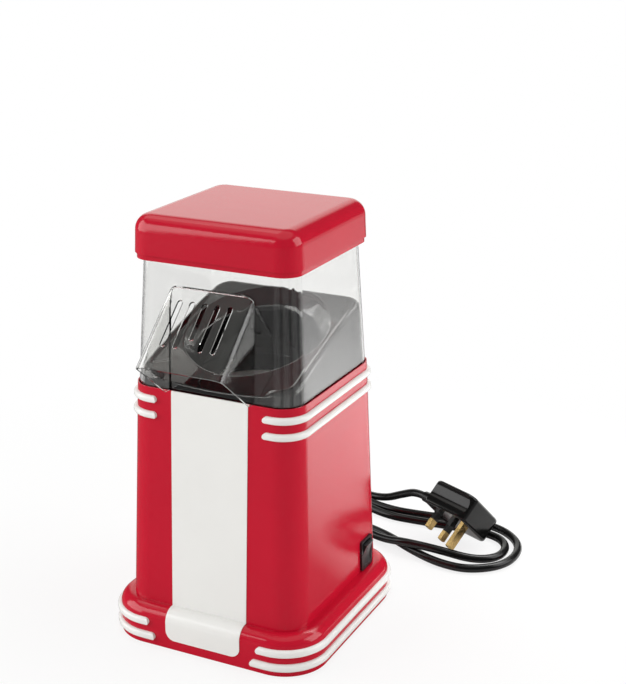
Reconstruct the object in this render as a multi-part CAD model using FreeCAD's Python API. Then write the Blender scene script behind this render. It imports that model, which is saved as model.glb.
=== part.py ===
"""Hot-air popcorn maker: tapered tower on a flared plinth, sloped black collar with a funnel,
clear hopper with a chute visor, cap, blower and heater inside, rocker switch, cord and plug.

Millimetres. +Z is up and the front faces -Y. The origin is on the table, under the middle of the
footprint without the cord. Every piece but the cord and plug is modelled about the tower's own axis
and then moved back by tower_back.
"""
import math
import os

import FreeCAD
import Part

V = FreeCAD.Vector
UP = V(0, 0, 1)
ACROSS = V(1, 0, 0)
BACK = V(0, 1, 0)

# Plinth and base plate
plinth_width = 172.0
plinth_depth = 174.0
plinth_corner = 33.0
plinth_low = 0.4
plinth_top = 31.0
plinth_shoulder = 9.0
plinth_wall = 2.4
plate_low = 3.0
plate_thick = 2.5
plate_ledge_tall = 3.0
plate_ledge_wide = 2.6
foot_radius = 8.0
foot_stem_radius = 3.0
foot_bevel = 1.0
foot_inset_side = 20.0
foot_inset_front = 49.0
foot_x = plinth_width / 2 - foot_inset_side
foot_y = plinth_depth / 2 - foot_inset_front
intake_slot_wide = 4.0
intake_slot_pitch = 8.0

# Tower shell
body_step_side = 12.5
body_step_front = 11.0
body_draw_side = 4.7
body_draw_front = 8.0
body_width_low = plinth_width - 2 * body_step_side
body_depth_low = plinth_depth - 2 * body_step_front
body_corner_low = 19.5
body_width_top = body_width_low - 2 * body_draw_side
body_depth_top = body_depth_low - 2 * body_draw_front
body_corner_top = 19.0
body_top = 201.0
body_wall = 2.4
spigot_inset = 2.0
spigot_wall = 2.2
spigot_tall = 9.0
spigot_ring_tall = 1.5
lip_thick = 0.8
groove_depth = 4.0
post_radius = 6.0
post_inset = 9.6
post_top = 50.0
fit_gap = 0.2

# White stripe
panel_width = 63.0
panel_proud = 0.5
panel_sunk = 0.7
panel_foot = 8.0
panel_corner = 7.5

# White trim bars
trim_proud = 2.8
trim_round = 2.4
body_trim_tall = 5.5
body_trim_heights = (body_top - 20.8, body_top - 8.7)
body_trim_start = 44.0
plinth_trim_tall = 6.2
plinth_trim_heights = (7.6, 19.2)
plinth_trim_starts = (41.0, 46.0)

# Clear hopper with its chute
hopper_wall = 1.5
hopper_height = 104.0
hopper_draw_side = 6.5
hopper_draw_front = 7.7
hopper_width_top = body_width_top - 2 * hopper_draw_side
hopper_depth_top = body_depth_top - 2 * hopper_draw_front
hopper_corner_top = 15.5
hopper_gap = 0.3
rim_bead_tall = 4.0
rim_bead_proud = 0.6
chute_width = 70.0
chute_top = 82.0
chute_corner = 8.0
visor_reach = 44.55
visor_lip = 36.0
visor_slots = 5
visor_slot_wide = 4.2
visor_slot_pitch = 10.0
visor_slot_long = 38.0
visor_slot_middle = 30.0
visor_slot_start = 11.0

# Cap
lid_overhang = 4.9
lid_width = hopper_width_top + 2 * lid_overhang
lid_depth = hopper_depth_top + 2 * lid_overhang
lid_corner = 16.0
lid_height = 32.0
lid_round = 12.0
lid_draft = 1.2
lid_wall = 2.2
lid_lip_tall = 4.0
lid_lip_inset = 1.3
lid_lip_wall = 1.8
lid_overlap = 6.0
lid_rib_thick = 2.5
lid_rib_reach = 3.5

# Black collar
collar_wall = 2.4
collar_gap = 0.35
collar_flange = 3.0
collar_front_rise = 11.5
collar_back_rise = 51.5
collar_front = body_top + collar_front_rise
collar_back = body_top + collar_back_rise
collar_round = 2.5
deck_sink = 2.0
deck_side = 4.5
deck_corner = 18.0
deck_drop = 3.8
deck_drop_run = 16.0
funnel_margin = 13.5
funnel_flare = 9.0
funnel_radius = min(body_width_top, body_depth_top) / 2 - funnel_margin
funnel_throat = funnel_radius - funnel_flare
funnel_deep = 9.5
funnel_step = 0.7
funnel_wall = 2.2
collar_screw_inset = 10.5
collar_boss_radius = 4.0
collar_lug_radius = 8.0
collar_lug_tall = 10.0

# Popping chamber, shroud and heater
axis_y = 4.0
chamber_step = 2.5
chamber_hang = 11.0
housing_top = 100.0
heater_room = 28.0
chamber_radius = funnel_throat - chamber_step
chamber_rim = body_top - groove_depth - collar_flange - chamber_hang
chamber_floor = housing_top + heater_room
chamber_sheet = 1.2
chamber_flange = chamber_radius + 9.5
chamber_dome_radius = chamber_radius - 17.0
chamber_dome_tall = 9.0
louvre_count = 16
louvre_long = 11.0
louvre_wide = 2.2
louvre_lean = 35.0
shroud_radius = chamber_radius + 7.5
shroud_sheet = 0.8
board_thick = 1.0
board_half = chamber_radius - 9.0
board_top = chamber_floor - 6.0
board_foot = 6.0
coil_turns = 4
coil_sides = 12
coil_pitch = 4.0
coil_wire = 2.2
thermostat_radius = 8.0
thermostat_deep = 7.0
thermostat_z = chamber_rim - 33.0
fuse_radius = 2.0
fuse_long = 12.0

# Blower and motor
housing_low = 60.0
housing_plate = 2.5
housing_radius = chamber_radius + 11.0
housing_wall = 2.0
housing_mouth = housing_radius - 5.0
inlet_radius = housing_radius - 21.0
spider_radius = 19.0
spider_arm_wide = 8.0
spider_arms = 3
column_radius = 5.0
column_reach = housing_radius + 12.5
column_turn = 57.0
intake_radius = housing_radius - 16.0
intake_slots = 2 * int((intake_radius - intake_slot_wide) / intake_slot_pitch) + 1
lug_radius = 6.0
lug_thick = 4.0
impeller_radius = housing_radius - 4.0
impeller_low = 66.0
impeller_top = 88.0
impeller_plate = 2.0
hub_radius = 8.0
blade_count = 12
blade_thick = 1.6
blade_inner = 24.0
blade_lean = 28.0
motor_radius = 18.0
motor_long = 40.0
motor_sheet = 1.4
motor_boss_radius = 6.0
motor_boss_tall = 4.0
motor_cap_thick = 3.0
shaft_radius = 1.6
shaft_gap = 0.05
shaft_above_hub = 2.0
magnet_thick = 3.0
magnet_spread = 140.0
armature_gap = 0.6
armature_long = 24.0
board_disc_radius = 15.0
board_disc_thick = 1.6
board_disc_drop = 3.0
diode_radius = 1.4
diode_long = 5.0
screw_radius = 1.5
screw_head_radius = 2.9
screw_head_tall = 2.0
screw_long = 14.0

# Rocker switch on the right side
switch_from_back = 31.5
switch_y = body_depth_low / 2 - switch_from_back
switch_z = 44.3
bezel_wide = 19.5
bezel_tall = 25.0
bezel_thick = 1.8
bezel_corner = 1.5
switch_box_wide = 16.4
switch_box_tall = 22.4
switch_box_deep = 15.0
window_wide = 13.4
window_tall = 21.0
window_deep = 9.0
rocker_wide = 12.8
rocker_half = 9.4
rocker_crest = 3.4
rocker_dip = 1.6
rocker_pivot_deep = 2.0
rocker_tilt = 8.0
pin_radius = 1.2
pin_gap = 0.05
pin_long = 0.9
tab_thick = 0.8
tab_wide = 6.3
tab_long = 6.3

# Cord entry at the back
cord_diameter = 7.0
entry_x = -15.0
entry_z = 13.5
relief_long = 38.0
relief_flange_radius = 7.6
relief_flange_thick = 2.5
relief_root_radius = 6.2
relief_tip_radius = 4.7
relief_neck_radius = 5.5
block_wide = 34.0
block_deep = 14.0
block_tall = 13.0
block_gap_to_wall = 16.0
block_clear = 1.0
clamp_wide = 22.0
clamp_deep = 6.0
clamp_tall = 14.5
wire_diameter = 2.4
wire_clear = 4.0
wire_straight = 10.0

# Plug with rectangular pins
plug_place = V(102.6, 178.7, 23.2)
plug_turn = -26.2
plug_roll = 133.3
plug_wide = 49.0
plug_earth_end = 23.0
plug_cord_end = 25.0
plug_base_deep = 11.0
plug_cover_deep = 12.0
plug_corner = 9.0
plug_edge_round = 2.5
plug_scoop_radius = 15.0
plug_scoop_deep = 4.0
pin_row = 22.2
earth_wide = 8.0
earth_thick = 4.0
earth_long = 22.7
power_wide = 6.35
power_thick = 4.0
power_long = 17.7
sleeve_long = 9.0
sleeve_thick = 0.5
pin_root = 6.0
guard_long = 20.0
guard_root_radius = 6.0
guard_tip_radius = 4.6
guard_deep = 9.0
cord_straight = 12.0

# Loose loops of the cord on the table, from the strain relief to the plug
cord_route = [
    (-15.0, 148.9, 12.5), (-8.6, 160.1, 9.5), (2.6, 166.5, 6.0), (24.0, 166.5, 3.7),
    (46.0, 156.5, 5.0), (70.0, 147.0, 11.4), (100.0, 146.0, 11.4), (130.0, 153.0, 5.0),
    (147.0, 169.0, 3.7), (147.0, 192.0, 3.7), (131.0, 208.0, 3.7), (97.0, 209.0, 3.7),
    (62.0, 205.5, 3.7), (28.0, 203.5, 3.7), (-8.0, 219.5, 3.7), (-46.8, 222.0, 3.7),
    (-62.0, 206.8, 3.7), (-62.0, 185.2, 3.7), (-46.8, 170.0, 3.7), (-18.0, 171.0, 3.7),
    (12.0, 177.5, 3.7), (44.0, 168.0, 3.7), (76.0, 149.0, 3.7), (105.0, 137.0, 3.7),
    (133.0, 137.0, 3.7), (158.0, 160.0, 3.7), (158.0, 198.0, 3.7), (131.0, 224.0, 3.7),
    (96.0, 225.0, 3.7), (60.0, 219.0, 3.7), (24.0, 216.0, 3.7), (-12.0, 229.0, 3.7),
    (-48.0, 233.0, 3.7), (-80.0, 226.0, 3.7), (-104.0, 214.0, 3.7), (-128.0, 216.0, 3.7),
    (-144.0, 232.0, 3.7), (-144.0, 254.0, 3.7), (-128.0, 270.0, 3.7), (-104.0, 272.0, 3.7),
    (-76.0, 260.0, 3.7), (-44.0, 248.0, 3.7), (-12.0, 237.5, 3.7), (16.0, 227.5, 8.0),
    (40.0, 216.5, 22.0),
]


def rounded_wire(section):
    """Closed outline of a rectangle with round corners, as (width, depth, corner, z)."""
    width, depth, corner, z = section
    x = width / 2
    y = depth / 2
    edges = []
    for turn in range(4):
        flat = (x, y - corner) if turn % 2 == 0 else (y, x - corner)
        side, reach = flat
        run = Part.LineSegment(V(side, -reach, 0), V(side, reach, 0)).toShape()
        centre = V(side - corner, reach, 0)
        arc = Part.Arc(
            centre + V(corner, 0, 0),
            centre + V(corner * math.sqrt(0.5), corner * math.sqrt(0.5), 0),
            centre + V(0, corner, 0),
        ).toShape()
        for edge in (run, arc):
            edge.rotate(V(), UP, 90 * turn)
            edges.append(edge)
    wire = Part.Wire(Part.__sortEdges__(edges))
    wire.translate(V(0, 0, z))
    return wire


def prism(section, top):
    """Upright block on a rounded outline, from the outline's z to top."""
    return Part.Face(rounded_wire(section)).extrude(V(0, 0, top - section[3]))


def taper(low, high):
    """Straight-walled block between two rounded outlines."""
    return Part.makeLoft([rounded_wire(low), rounded_wire(high)], True, True)


def between(low, high, z, inset=0.0):
    """Outline of the tapered block low-high at height z, drawn in by inset all round."""
    share = (z - low[3]) / (high[3] - low[3])
    width, depth, corner = (a + share * (b - a) for a, b in zip(low[:3], high[:3]))
    return (width - 2 * inset, depth - 2 * inset, max(corner - inset, 0.6), z)


def tapered_inset(low, high, z_low, z_high, inset):
    """Block that follows the taper low-high between two heights, drawn in by inset."""
    return taper(between(low, high, z_low, inset), between(low, high, z_high, inset))


def block(x0, x1, y0, y1, z0, z1):
    return Part.makeBox(x1 - x0, y1 - y0, z1 - z0, V(x0, y0, z0))


def rod(radius, start, end):
    """Cylinder between two points."""
    run = end - start
    return Part.makeCylinder(radius, run.Length, start, run)


def turned(profile, place, axis=UP):
    """Solid of revolution from (radius, height) points and arcs about a line through place."""
    corners = [V(radius, 0, height) for radius, height in profile]
    face = Part.Face(Part.makePolygon(corners + corners[:1]))
    solid = face.revolve(V(), UP, 360)
    solid.Placement = FreeCAD.Placement(place, FreeCAD.Rotation(UP, axis))
    return solid


def fused(pieces):
    whole = pieces[0].fuse(pieces[1:]) if len(pieces) > 1 else pieces[0]
    return whole.removeSplitter()


def around(solid, count, place, start=0.0):
    """Copies of a solid turned evenly about the upright line through place."""
    copies = []
    for step in range(count):
        copy = solid.copy()
        copy.rotate(place, UP, start + 360.0 * step / count)
        copies.append(copy)
    return copies


def four_corners(x, y):
    return [(sx * x, sy * y) for sx in (-1, 1) for sy in (-1, 1)]


def mirrored(solid):
    return solid.mirror(V(), ACROSS)


def cord_tube(points, diameter):
    """Round tube on straight runs joined by arcs as large as the runs allow."""
    corners = [V(*point) for point in points]
    edges = []
    radii = []
    start = corners[0]
    for before, here, after in zip(corners, corners[1:], corners[2:]):
        towards = (before - here).normalize()
        away = (after - here).normalize()
        shorter = min((before - here).Length, (after - here).Length)
        half_turn = (math.pi - towards.getAngle(away)) / 2
        cut = 0.45 * shorter
        radius = cut / math.tan(half_turn)
        middle = (towards + away).normalize()
        centre = here + middle * (radius / math.cos(half_turn))
        arc_in = here + towards * cut
        arc_out = here + away * cut
        edges.append(Part.LineSegment(start, arc_in).toShape())
        edges.append(Part.Arc(arc_in, centre - middle * radius, arc_out).toShape())
        radii.append(radius)
        start = arc_out
    edges.append(Part.LineSegment(start, corners[-1]).toShape())
    path = Part.Wire(edges)
    first_run = corners[1] - corners[0]
    ring = Part.Wire(Part.makeCircle(diameter / 2, corners[0], first_run))
    sweep = Part.BRepOffsetAPI.MakePipeShell(path)
    sweep.add(ring)
    sweep.build()
    sweep.makeSolid()
    return sweep.shape(), path, radii


parts = {}


def keep(name, *solids):
    """Name a piece made of one or more separate solids."""
    parts[name] = solids[0] if len(solids) == 1 else Part.makeCompound(list(solids))


# Sizes that follow from the ones above
tower_axis = V(0, axis_y, 0)
body_low = (body_width_low, body_depth_low, body_corner_low, plinth_top)
body_high = (body_width_top, body_depth_top, body_corner_top, body_top)
groove_floor = body_top - groove_depth
collar_seat = groove_floor - collar_flange
lip_inside = between(body_low, body_high, body_top, lip_thick)
hopper_low = (
    lip_inside[0] - 2 * hopper_gap,
    lip_inside[1] - 2 * hopper_gap,
    lip_inside[2] - hopper_gap,
    groove_floor,
)
hopper_top = groove_floor + hopper_height
hopper_high = (hopper_width_top, hopper_depth_top, hopper_corner_top, hopper_top)
plate_top = plate_low + plate_thick
front_reach = hopper_low[1] / 2 + visor_reach
back_reach = plinth_depth / 2 + trim_proud
tower_back = (front_reach - back_reach) / 2


def plinth_section(z, inset=0.0):
    return (
        plinth_width - 2 * inset,
        plinth_depth - 2 * inset,
        plinth_corner - inset,
        z,
    )


def shouldered(low, top, inset):
    """Plinth block with its top edge rounded over."""
    solid = prism(plinth_section(low, inset), top)
    rim = [edge for edge in solid.Edges if min(v.Z for v in edge.Vertexes) > top - 0.01]
    return solid.makeFillet(plinth_shoulder - inset, rim)


def screw(x, y, seat, direction):
    """Pan-head screw with its head's underside on seat, pointing up (1) or down (-1)."""
    shank = rod(screw_radius, V(x, y, seat), V(x, y, seat + direction * screw_long))
    head = rod(screw_head_radius, V(x, y, seat - direction * screw_head_tall), V(x, y, seat))
    return fused([shank, head])


# White stripe: one strip down the tower's front that bends over the plinth's shoulder
def stripe():
    def strip_edge(offset):
        """Corner points of the strip's side view, offset outwards from the red faces."""
        front = -plinth_depth / 2 - offset
        shoulder_y = -plinth_depth / 2 + plinth_shoulder
        shoulder_z = plinth_top - plinth_shoulder
        turn = plinth_shoulder + offset
        bend = V(0, shoulder_y, shoulder_z) + V(0, -turn, turn) * math.sqrt(0.5)
        foot_of_tower = between(body_low, body_high, plinth_top + offset)[1] / 2
        return [
            V(0, -body_depth_top / 2 - offset, body_top),
            V(0, -foot_of_tower - offset, plinth_top + offset),
            V(0, shoulder_y, plinth_top + offset),
            bend,
            V(0, front, shoulder_z),
            V(0, front, panel_foot),
        ]

    def line(a, b):
        return Part.LineSegment(a, b).toShape()

    outer = strip_edge(panel_proud)
    inner = strip_edge(-panel_sunk)
    edges = []
    for side in (outer, inner):
        edges.append(line(side[0], side[1]))
        edges.append(line(side[1], side[2]))
        edges.append(Part.Arc(side[2], side[3], side[4]).toShape())
        edges.append(line(side[4], side[5]))
    edges.append(line(outer[0], inner[0]))
    edges.append(line(outer[5], inner[5]))
    face = Part.Face(Part.Wire(Part.__sortEdges__(edges)))
    strip = face.extrude(V(panel_width, 0, 0))
    strip.translate(V(-panel_width / 2, 0, 0))
    tall = 2 * (body_top - panel_foot)
    mask = prism((panel_width, tall, panel_corner, 0), plinth_depth)
    mask.rotate(V(), ACROSS, 90)
    mask.translate(V(0, 0, panel_foot + tall / 2))
    return strip.common(mask)


front_panel = stripe()
keep("front_panel", front_panel)

# Tower shell with its hopper lip, screw posts, collar lugs, spigot and switch window
tower_outside = taper(body_low, body_high)
post_x = body_width_low / 2 - body_wall - post_inset
post_y = body_depth_low / 2 - body_wall - post_inset
inside_top = between(body_low, body_high, collar_seat, body_wall)
collar_screw_x = inside_top[0] / 2 - collar_screw_inset
collar_screw_y = inside_top[1] / 2 - collar_screw_inset
wall_lean = math.degrees(math.atan((body_width_low - body_width_top) / 2 / (body_top - plinth_top)))
switch_x = between(body_low, body_high, switch_z)[0] / 2


def on_side_wall(solid):
    """Move a piece modelled about the switch's centre, outwards along +X, onto the leaning wall."""
    solid.rotate(V(), BACK, -wall_lean)
    solid.translate(V(switch_x, switch_y, switch_z))
    return solid


def side_plate(wide, tall, corner, deep_from, deep_to):
    """Rounded plate across Y and Z between two depths along X."""
    plate = prism((tall, wide, corner, 0), deep_to - deep_from)
    plate.rotate(V(), BACK, 90)
    plate.translate(V(deep_from, 0, 0))
    return plate


def tower_shell():
    spigot_low = plinth_top - spigot_tall
    spigot_foot = between(body_low, body_high, plinth_top, spigot_inset)[:3] + (spigot_low,)
    spigot = prism(spigot_foot, plinth_top)
    ring_top = plinth_top + spigot_ring_tall
    throat = between(body_low, body_high, plinth_top, spigot_inset + spigot_wall)[:3] + (spigot_low,)
    half_wide = switch_box_wide / 2 + fit_gap
    half_tall = switch_box_tall / 2 + fit_gap
    window = block(-2 * body_wall, 2 * body_wall, -half_wide, half_wide, -half_tall, half_tall)
    shell = tower_outside.cut(on_side_wall(window)).fuse(spigot)
    shell = shell.cut(prism(throat, ring_top))
    shell = shell.cut(tapered_inset(body_low, body_high, ring_top, collar_seat, body_wall))
    shell = shell.cut(prism(lip_inside[:3] + (collar_seat,), body_top + 1))
    posts = [
        rod(post_radius, V(x, y, plate_top), V(x, y, post_top))
        for x, y in four_corners(post_x, post_y)
    ]
    lugs = [
        rod(collar_lug_radius, V(x, y, collar_seat - collar_lug_tall), V(x, y, collar_seat))
        for x, y in four_corners(collar_screw_x, collar_screw_y)
    ]
    within = fused([
        tapered_inset(body_low, body_high, plinth_top, collar_seat, body_wall / 2),
        prism(throat[:3] + (plate_top,), plinth_top),
    ])
    shell = shell.fuse([piece.common(within) for piece in posts + lugs])
    for x, y in four_corners(post_x, post_y):
        shell = shell.cut(rod(screw_radius, V(x, y, plate_low), V(x, y, plate_low + screw_long + 1)))
    for x, y in four_corners(collar_screw_x, collar_screw_y):
        hole_low = collar_seat - collar_lug_tall - 1
        shell = shell.cut(rod(screw_radius + fit_gap, V(x, y, hole_low), V(x, y, collar_seat + 1)))
    return shell.cut(front_panel).removeSplitter()


keep("body_shell", tower_shell())

# Plinth: flared foot with a round shoulder, a roof that the tower sits on and a ledge for the plate
relief_hole_y = plinth_depth / 2


def plinth_shell():
    shell = shouldered(plinth_low, plinth_top, 0.0)
    shell = shell.cut(shouldered(plinth_low - 1, plinth_top - plinth_wall, plinth_wall))
    ledge = prism(plinth_section(plate_top, plinth_wall / 2), plate_top + plate_ledge_tall)
    ledge = ledge.cut(
        prism(plinth_section(plate_top - 1, plinth_wall + plate_ledge_wide), plate_top + plate_ledge_tall + 1)
    )
    shell = shell.fuse(ledge)
    throat = between(body_low, body_high, plinth_top, spigot_inset - fit_gap)
    shell = shell.cut(prism(throat[:3] + (plinth_top - 2 * plinth_wall,), plinth_top + 1))
    hole_start = V(entry_x, relief_hole_y - plinth_wall - plate_ledge_wide - 1, entry_z)
    shell = shell.cut(rod(relief_neck_radius, hole_start, V(entry_x, relief_hole_y + 1, entry_z)))
    head_seat = V(entry_x, relief_hole_y - plinth_wall, entry_z)
    shell = shell.cut(rod(relief_flange_radius + fit_gap, hole_start, head_seat))
    return shell.cut(front_panel).removeSplitter()


plinth = plinth_shell()
keep("plinth", plinth)

# Base plate with blower columns and air intake, its feet and its screws
column_x = column_reach * math.cos(math.radians(column_turn))
column_y = column_reach * math.sin(math.radians(column_turn))
column_places = [(x, axis_y + y) for x, y in four_corners(column_x, column_y)]


def bottom_plate():
    inset = plinth_wall + fit_gap
    plate = prism(plinth_section(plate_low, inset), plate_top)
    columns = [rod(column_radius, V(x, y, plate_low), V(x, y, housing_low)) for x, y in column_places]
    plate = fused([plate] + columns)
    for x, y in column_places:
        pilot_top = housing_low + 1
        plate = plate.cut(rod(screw_radius, V(x, y, housing_low + lug_thick - screw_long), V(x, y, pilot_top)))
    for x, y in four_corners(post_x, post_y):
        plate = plate.cut(rod(screw_radius + fit_gap, V(x, y, plate_low - 1), V(x, y, plate_top + 1)))
    for x, y in four_corners(foot_x, foot_y):
        plate = plate.cut(rod(foot_stem_radius, V(x, y, plate_low - 1), V(x, y, plate_top + 1)))
    for step in range(intake_slots):
        x = (step - (intake_slots - 1) / 2) * intake_slot_pitch
        reach = math.sqrt(intake_radius**2 - x**2)
        half = intake_slot_wide / 2
        slot = block(x - half, x + half, axis_y - reach, axis_y + reach, plate_low - 1, plate_top + 1)
        plate = plate.cut(slot)
    return plate


keep("base_plate", bottom_plate())
foot_profile = [
    (0, 0), (foot_radius - foot_bevel, 0), (foot_radius, foot_bevel), (foot_radius, plate_low),
    (foot_stem_radius, plate_low), (foot_stem_radius, plate_top + foot_bevel), (0, plate_top + foot_bevel),
]
keep("rubber_feet", *[turned(foot_profile, V(x, y, 0)) for x, y in four_corners(foot_x, foot_y)])
keep("base_screws", *[screw(x, y, plate_low, 1) for x, y in four_corners(post_x, post_y)])

# White half-round bars that wrap the left and right sides
def trim_bar(section, tall, start, wall):
    low = section[3] - tall / 2
    grown = (section[0] + 2 * trim_proud, section[1] + 2 * trim_proud, section[2] + trim_proud, low)
    band = prism(grown, low + tall)
    rims = [edge for edge in band.Edges if abs(edge.CenterOfMass.z - section[3]) > tall / 2 - 0.01]
    band = band.makeFillet(trim_round, rims).cut(wall)
    far = grown[0]
    reach = grown[1]
    half = tall / 2
    middle = section[3]
    straight = block(start + half, far, -reach, reach, middle - half, middle + half)
    end = rod(half, V(start + half, -reach, middle), V(start + half, reach, middle))
    return band.common(fused([straight, end]))


body_trim_names = ("lower", "upper")
plinth_block = shouldered(plinth_low, plinth_top, 0.0)
for level, height in zip(body_trim_names, body_trim_heights):
    bar = trim_bar(between(body_low, body_high, height), body_trim_tall, body_trim_start, tower_outside)
    keep("body_trim_right_" + level, bar)
    keep("body_trim_left_" + level, mirrored(bar))
for level, height, start in zip(body_trim_names, plinth_trim_heights, plinth_trim_starts):
    bar = trim_bar(plinth_section(height), plinth_trim_tall, start, plinth_block)
    keep("plinth_trim_right_" + level, bar)
    keep("plinth_trim_left_" + level, mirrored(bar))

# Black collar: wedge with a sunk deck that runs out over the front, and a funnel down to the chamber
hopper_inside = [
    (low[0] - 2 * hopper_wall, low[1] - 2 * hopper_wall, low[2] - hopper_wall, low[3])
    for low in (hopper_low, hopper_high)
]
collar_low = between(hopper_inside[0], hopper_inside[1], groove_floor, collar_gap)
collar_high = between(hopper_inside[0], hopper_inside[1], collar_back, collar_gap)
collar_slope = (collar_back - collar_front) / collar_high[1]


def ridge(y, drop=0.0):
    """Height of the collar's sloped top at y."""
    return (collar_front + collar_back) / 2 + collar_slope * y - drop


def over_slope(drop, reach):
    """Everything above the sloped top lowered by drop."""
    side = [
        V(-reach, -reach, ridge(-reach, drop)), V(-reach, reach, ridge(reach, drop)),
        V(-reach, reach, collar_back + reach), V(-reach, -reach, collar_back + reach),
    ]
    return Part.Face(Part.makePolygon(side + side[:1])).extrude(V(2 * reach, 0, 0))


def sloped_ring(radius, drop):
    """Ellipse that an upright circle about the chamber's axis cuts from the sunk deck."""
    centre = V(0, axis_y, ridge(axis_y, deck_sink + drop))
    along = V(0, 1, collar_slope).normalize()
    normal = V(0, -collar_slope, 1).normalize()
    ellipse = Part.Ellipse(V(0, 0, 0), radius * math.sqrt(1 + collar_slope**2), radius)
    wire = Part.Wire(ellipse.toShape())
    wire.Placement = FreeCAD.Placement(centre, FreeCAD.Rotation(along, V(-1, 0, 0), normal, "XYZ"))
    return wire


def collar():
    reach = plinth_width
    wedge = taper(collar_low, collar_high).cut(over_slope(0.0, reach))
    top_face = max(wedge.Faces, key=lambda face: face.CenterOfMass.z)
    wedge = wedge.makeFillet(collar_round, top_face.Edges)
    front = -collar_high[1] / 2
    bend_y = front + deck_drop_run
    side = [
        V(0, front - 2, ridge(front - 2, deck_sink + deck_drop)),
        V(0, (front + bend_y) / 2, ridge((front + bend_y) / 2, deck_sink + deck_drop / 4)),
        V(0, bend_y, ridge(bend_y, deck_sink)),
        V(0, reach, ridge(reach, deck_sink)),
        V(0, reach, collar_back + reach),
        V(0, front - 2, collar_back + reach),
    ]
    edges = [Part.Arc(side[0], side[1], side[2]).toShape()]
    for a, b in zip(side[2:], side[3:] + side[:1]):
        edges.append(Part.LineSegment(a, b).toShape())
    scoop = Part.Face(Part.Wire(edges)).extrude(V(2 * reach, 0, 0))
    scoop.translate(V(-reach, 0, 0))
    deck_back = collar_high[1] / 2 + deck_corner
    deck_mask = prism(
        (collar_high[0] - 2 * deck_side, deck_back - front + 1, deck_corner, collar_seat), collar_back + reach
    )
    deck_mask.translate(V(0, (deck_back + front - 1) / 2, 0))
    wedge = wedge.cut(scoop.common(deck_mask))
    flange = prism(
        (lip_inside[0] - 2 * fit_gap, lip_inside[1] - 2 * fit_gap, lip_inside[2] - fit_gap, collar_seat),
        groove_floor,
    )
    low_skin = between(collar_low, collar_high, groove_floor, collar_wall)
    high_skin = between(collar_low, collar_high, collar_back, collar_wall)
    hollow = taper(low_skin, high_skin).cut(over_slope(deck_sink + collar_wall, reach))
    hollow = hollow.cut(scoop.common(deck_mask).translated(V(0, 0, -collar_wall)))
    hollow = hollow.fuse(prism(low_skin[:3] + (collar_seat - 1,), groove_floor))
    throat_out = funnel_throat + funnel_wall
    outer_rings = [sloped_ring(throat_out, funnel_deep), sloped_ring(funnel_radius + funnel_wall, 0)]
    funnel_out = fused([
        Part.makeLoft(outer_rings, True, True),
        rod(throat_out, V(0, axis_y, chamber_rim), V(0, axis_y, ridge(axis_y, deck_sink + funnel_deep))).cut(
            over_slope(deck_sink + funnel_deep, reach)
        ),
        rod(throat_out, V(0, axis_y, chamber_rim), V(0, axis_y, collar_seat)),
    ])
    bosses = [
        rod(collar_boss_radius, V(x, y, collar_seat), V(x, y, collar_seat + screw_long))
        for x, y in four_corners(collar_screw_x, collar_screw_y)
    ]
    hollow = hollow.cut(fused([funnel_out] + bosses))
    skirt = rod(throat_out, V(0, axis_y, chamber_rim), V(0, axis_y, groove_floor))
    whole = fused([wedge, flange, skirt]).cut(hollow)
    mouth = Part.makeLoft([sloped_ring(funnel_throat, funnel_deep), sloped_ring(funnel_radius, 0)], True, True)
    above = Part.makeLoft([sloped_ring(funnel_radius, 0), sloped_ring(funnel_radius, -12)], True, True)
    bore = rod(funnel_throat, V(0, axis_y, groove_floor), V(0, axis_y, collar_back))
    bore = bore.cut(over_slope(deck_sink + funnel_deep, reach))
    narrow = rod(funnel_throat - funnel_step, V(0, axis_y, chamber_rim - 1), V(0, axis_y, groove_floor))
    whole = whole.cut([mouth, above, bore, narrow])
    pilot = screw_long - collar_lug_tall + 0.5
    for x, y in four_corners(collar_screw_x, collar_screw_y):
        whole = whole.cut(rod(screw_radius, V(x, y, collar_seat - 1), V(x, y, collar_seat + pilot)))
    return whole.removeSplitter()


keep("top_collar", collar())
lug_low = collar_seat - collar_lug_tall
keep("collar_screws", *[screw(x, y, lug_low, 1) for x, y in four_corners(collar_screw_x, collar_screw_y)])

# Popping chamber: pressed cup with a domed floor and swirl louvres low in its wall
def chamber():
    out = chamber_radius + chamber_sheet
    low = chamber_floor - chamber_sheet
    dome = chamber_floor + chamber_dome_tall
    cup = turned(
        [
            (0, dome - chamber_sheet), (chamber_dome_radius / 2, dome - chamber_sheet),
            (chamber_dome_radius, low), (out, low), (out, chamber_rim - chamber_sheet),
            (chamber_flange, chamber_rim - chamber_sheet), (chamber_flange, chamber_rim),
            (chamber_radius, chamber_rim), (chamber_radius, chamber_floor),
            (chamber_dome_radius, chamber_floor), (chamber_dome_radius / 2, dome), (0, dome),
        ],
        tower_axis,
    )
    half = louvre_long / 2
    slot = block(chamber_radius - 3, out + 3, -louvre_wide / 2, louvre_wide / 2, -half, half)
    slot.rotate(V(), ACROSS, louvre_lean)
    slot.translate(V(0, axis_y, chamber_floor + louvre_long))
    return cup.cut(around(slot, louvre_count, tower_axis))


keep("popping_chamber", chamber())
shroud_out = shroud_radius + shroud_sheet
shroud_top = chamber_rim - chamber_sheet
shroud_base = V(0, axis_y, housing_top)
shroud = rod(shroud_out, shroud_base, V(0, axis_y, shroud_top))
keep("chamber_shroud", shroud.cut(rod(shroud_radius, shroud_base, V(0, axis_y, shroud_top))))

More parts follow.
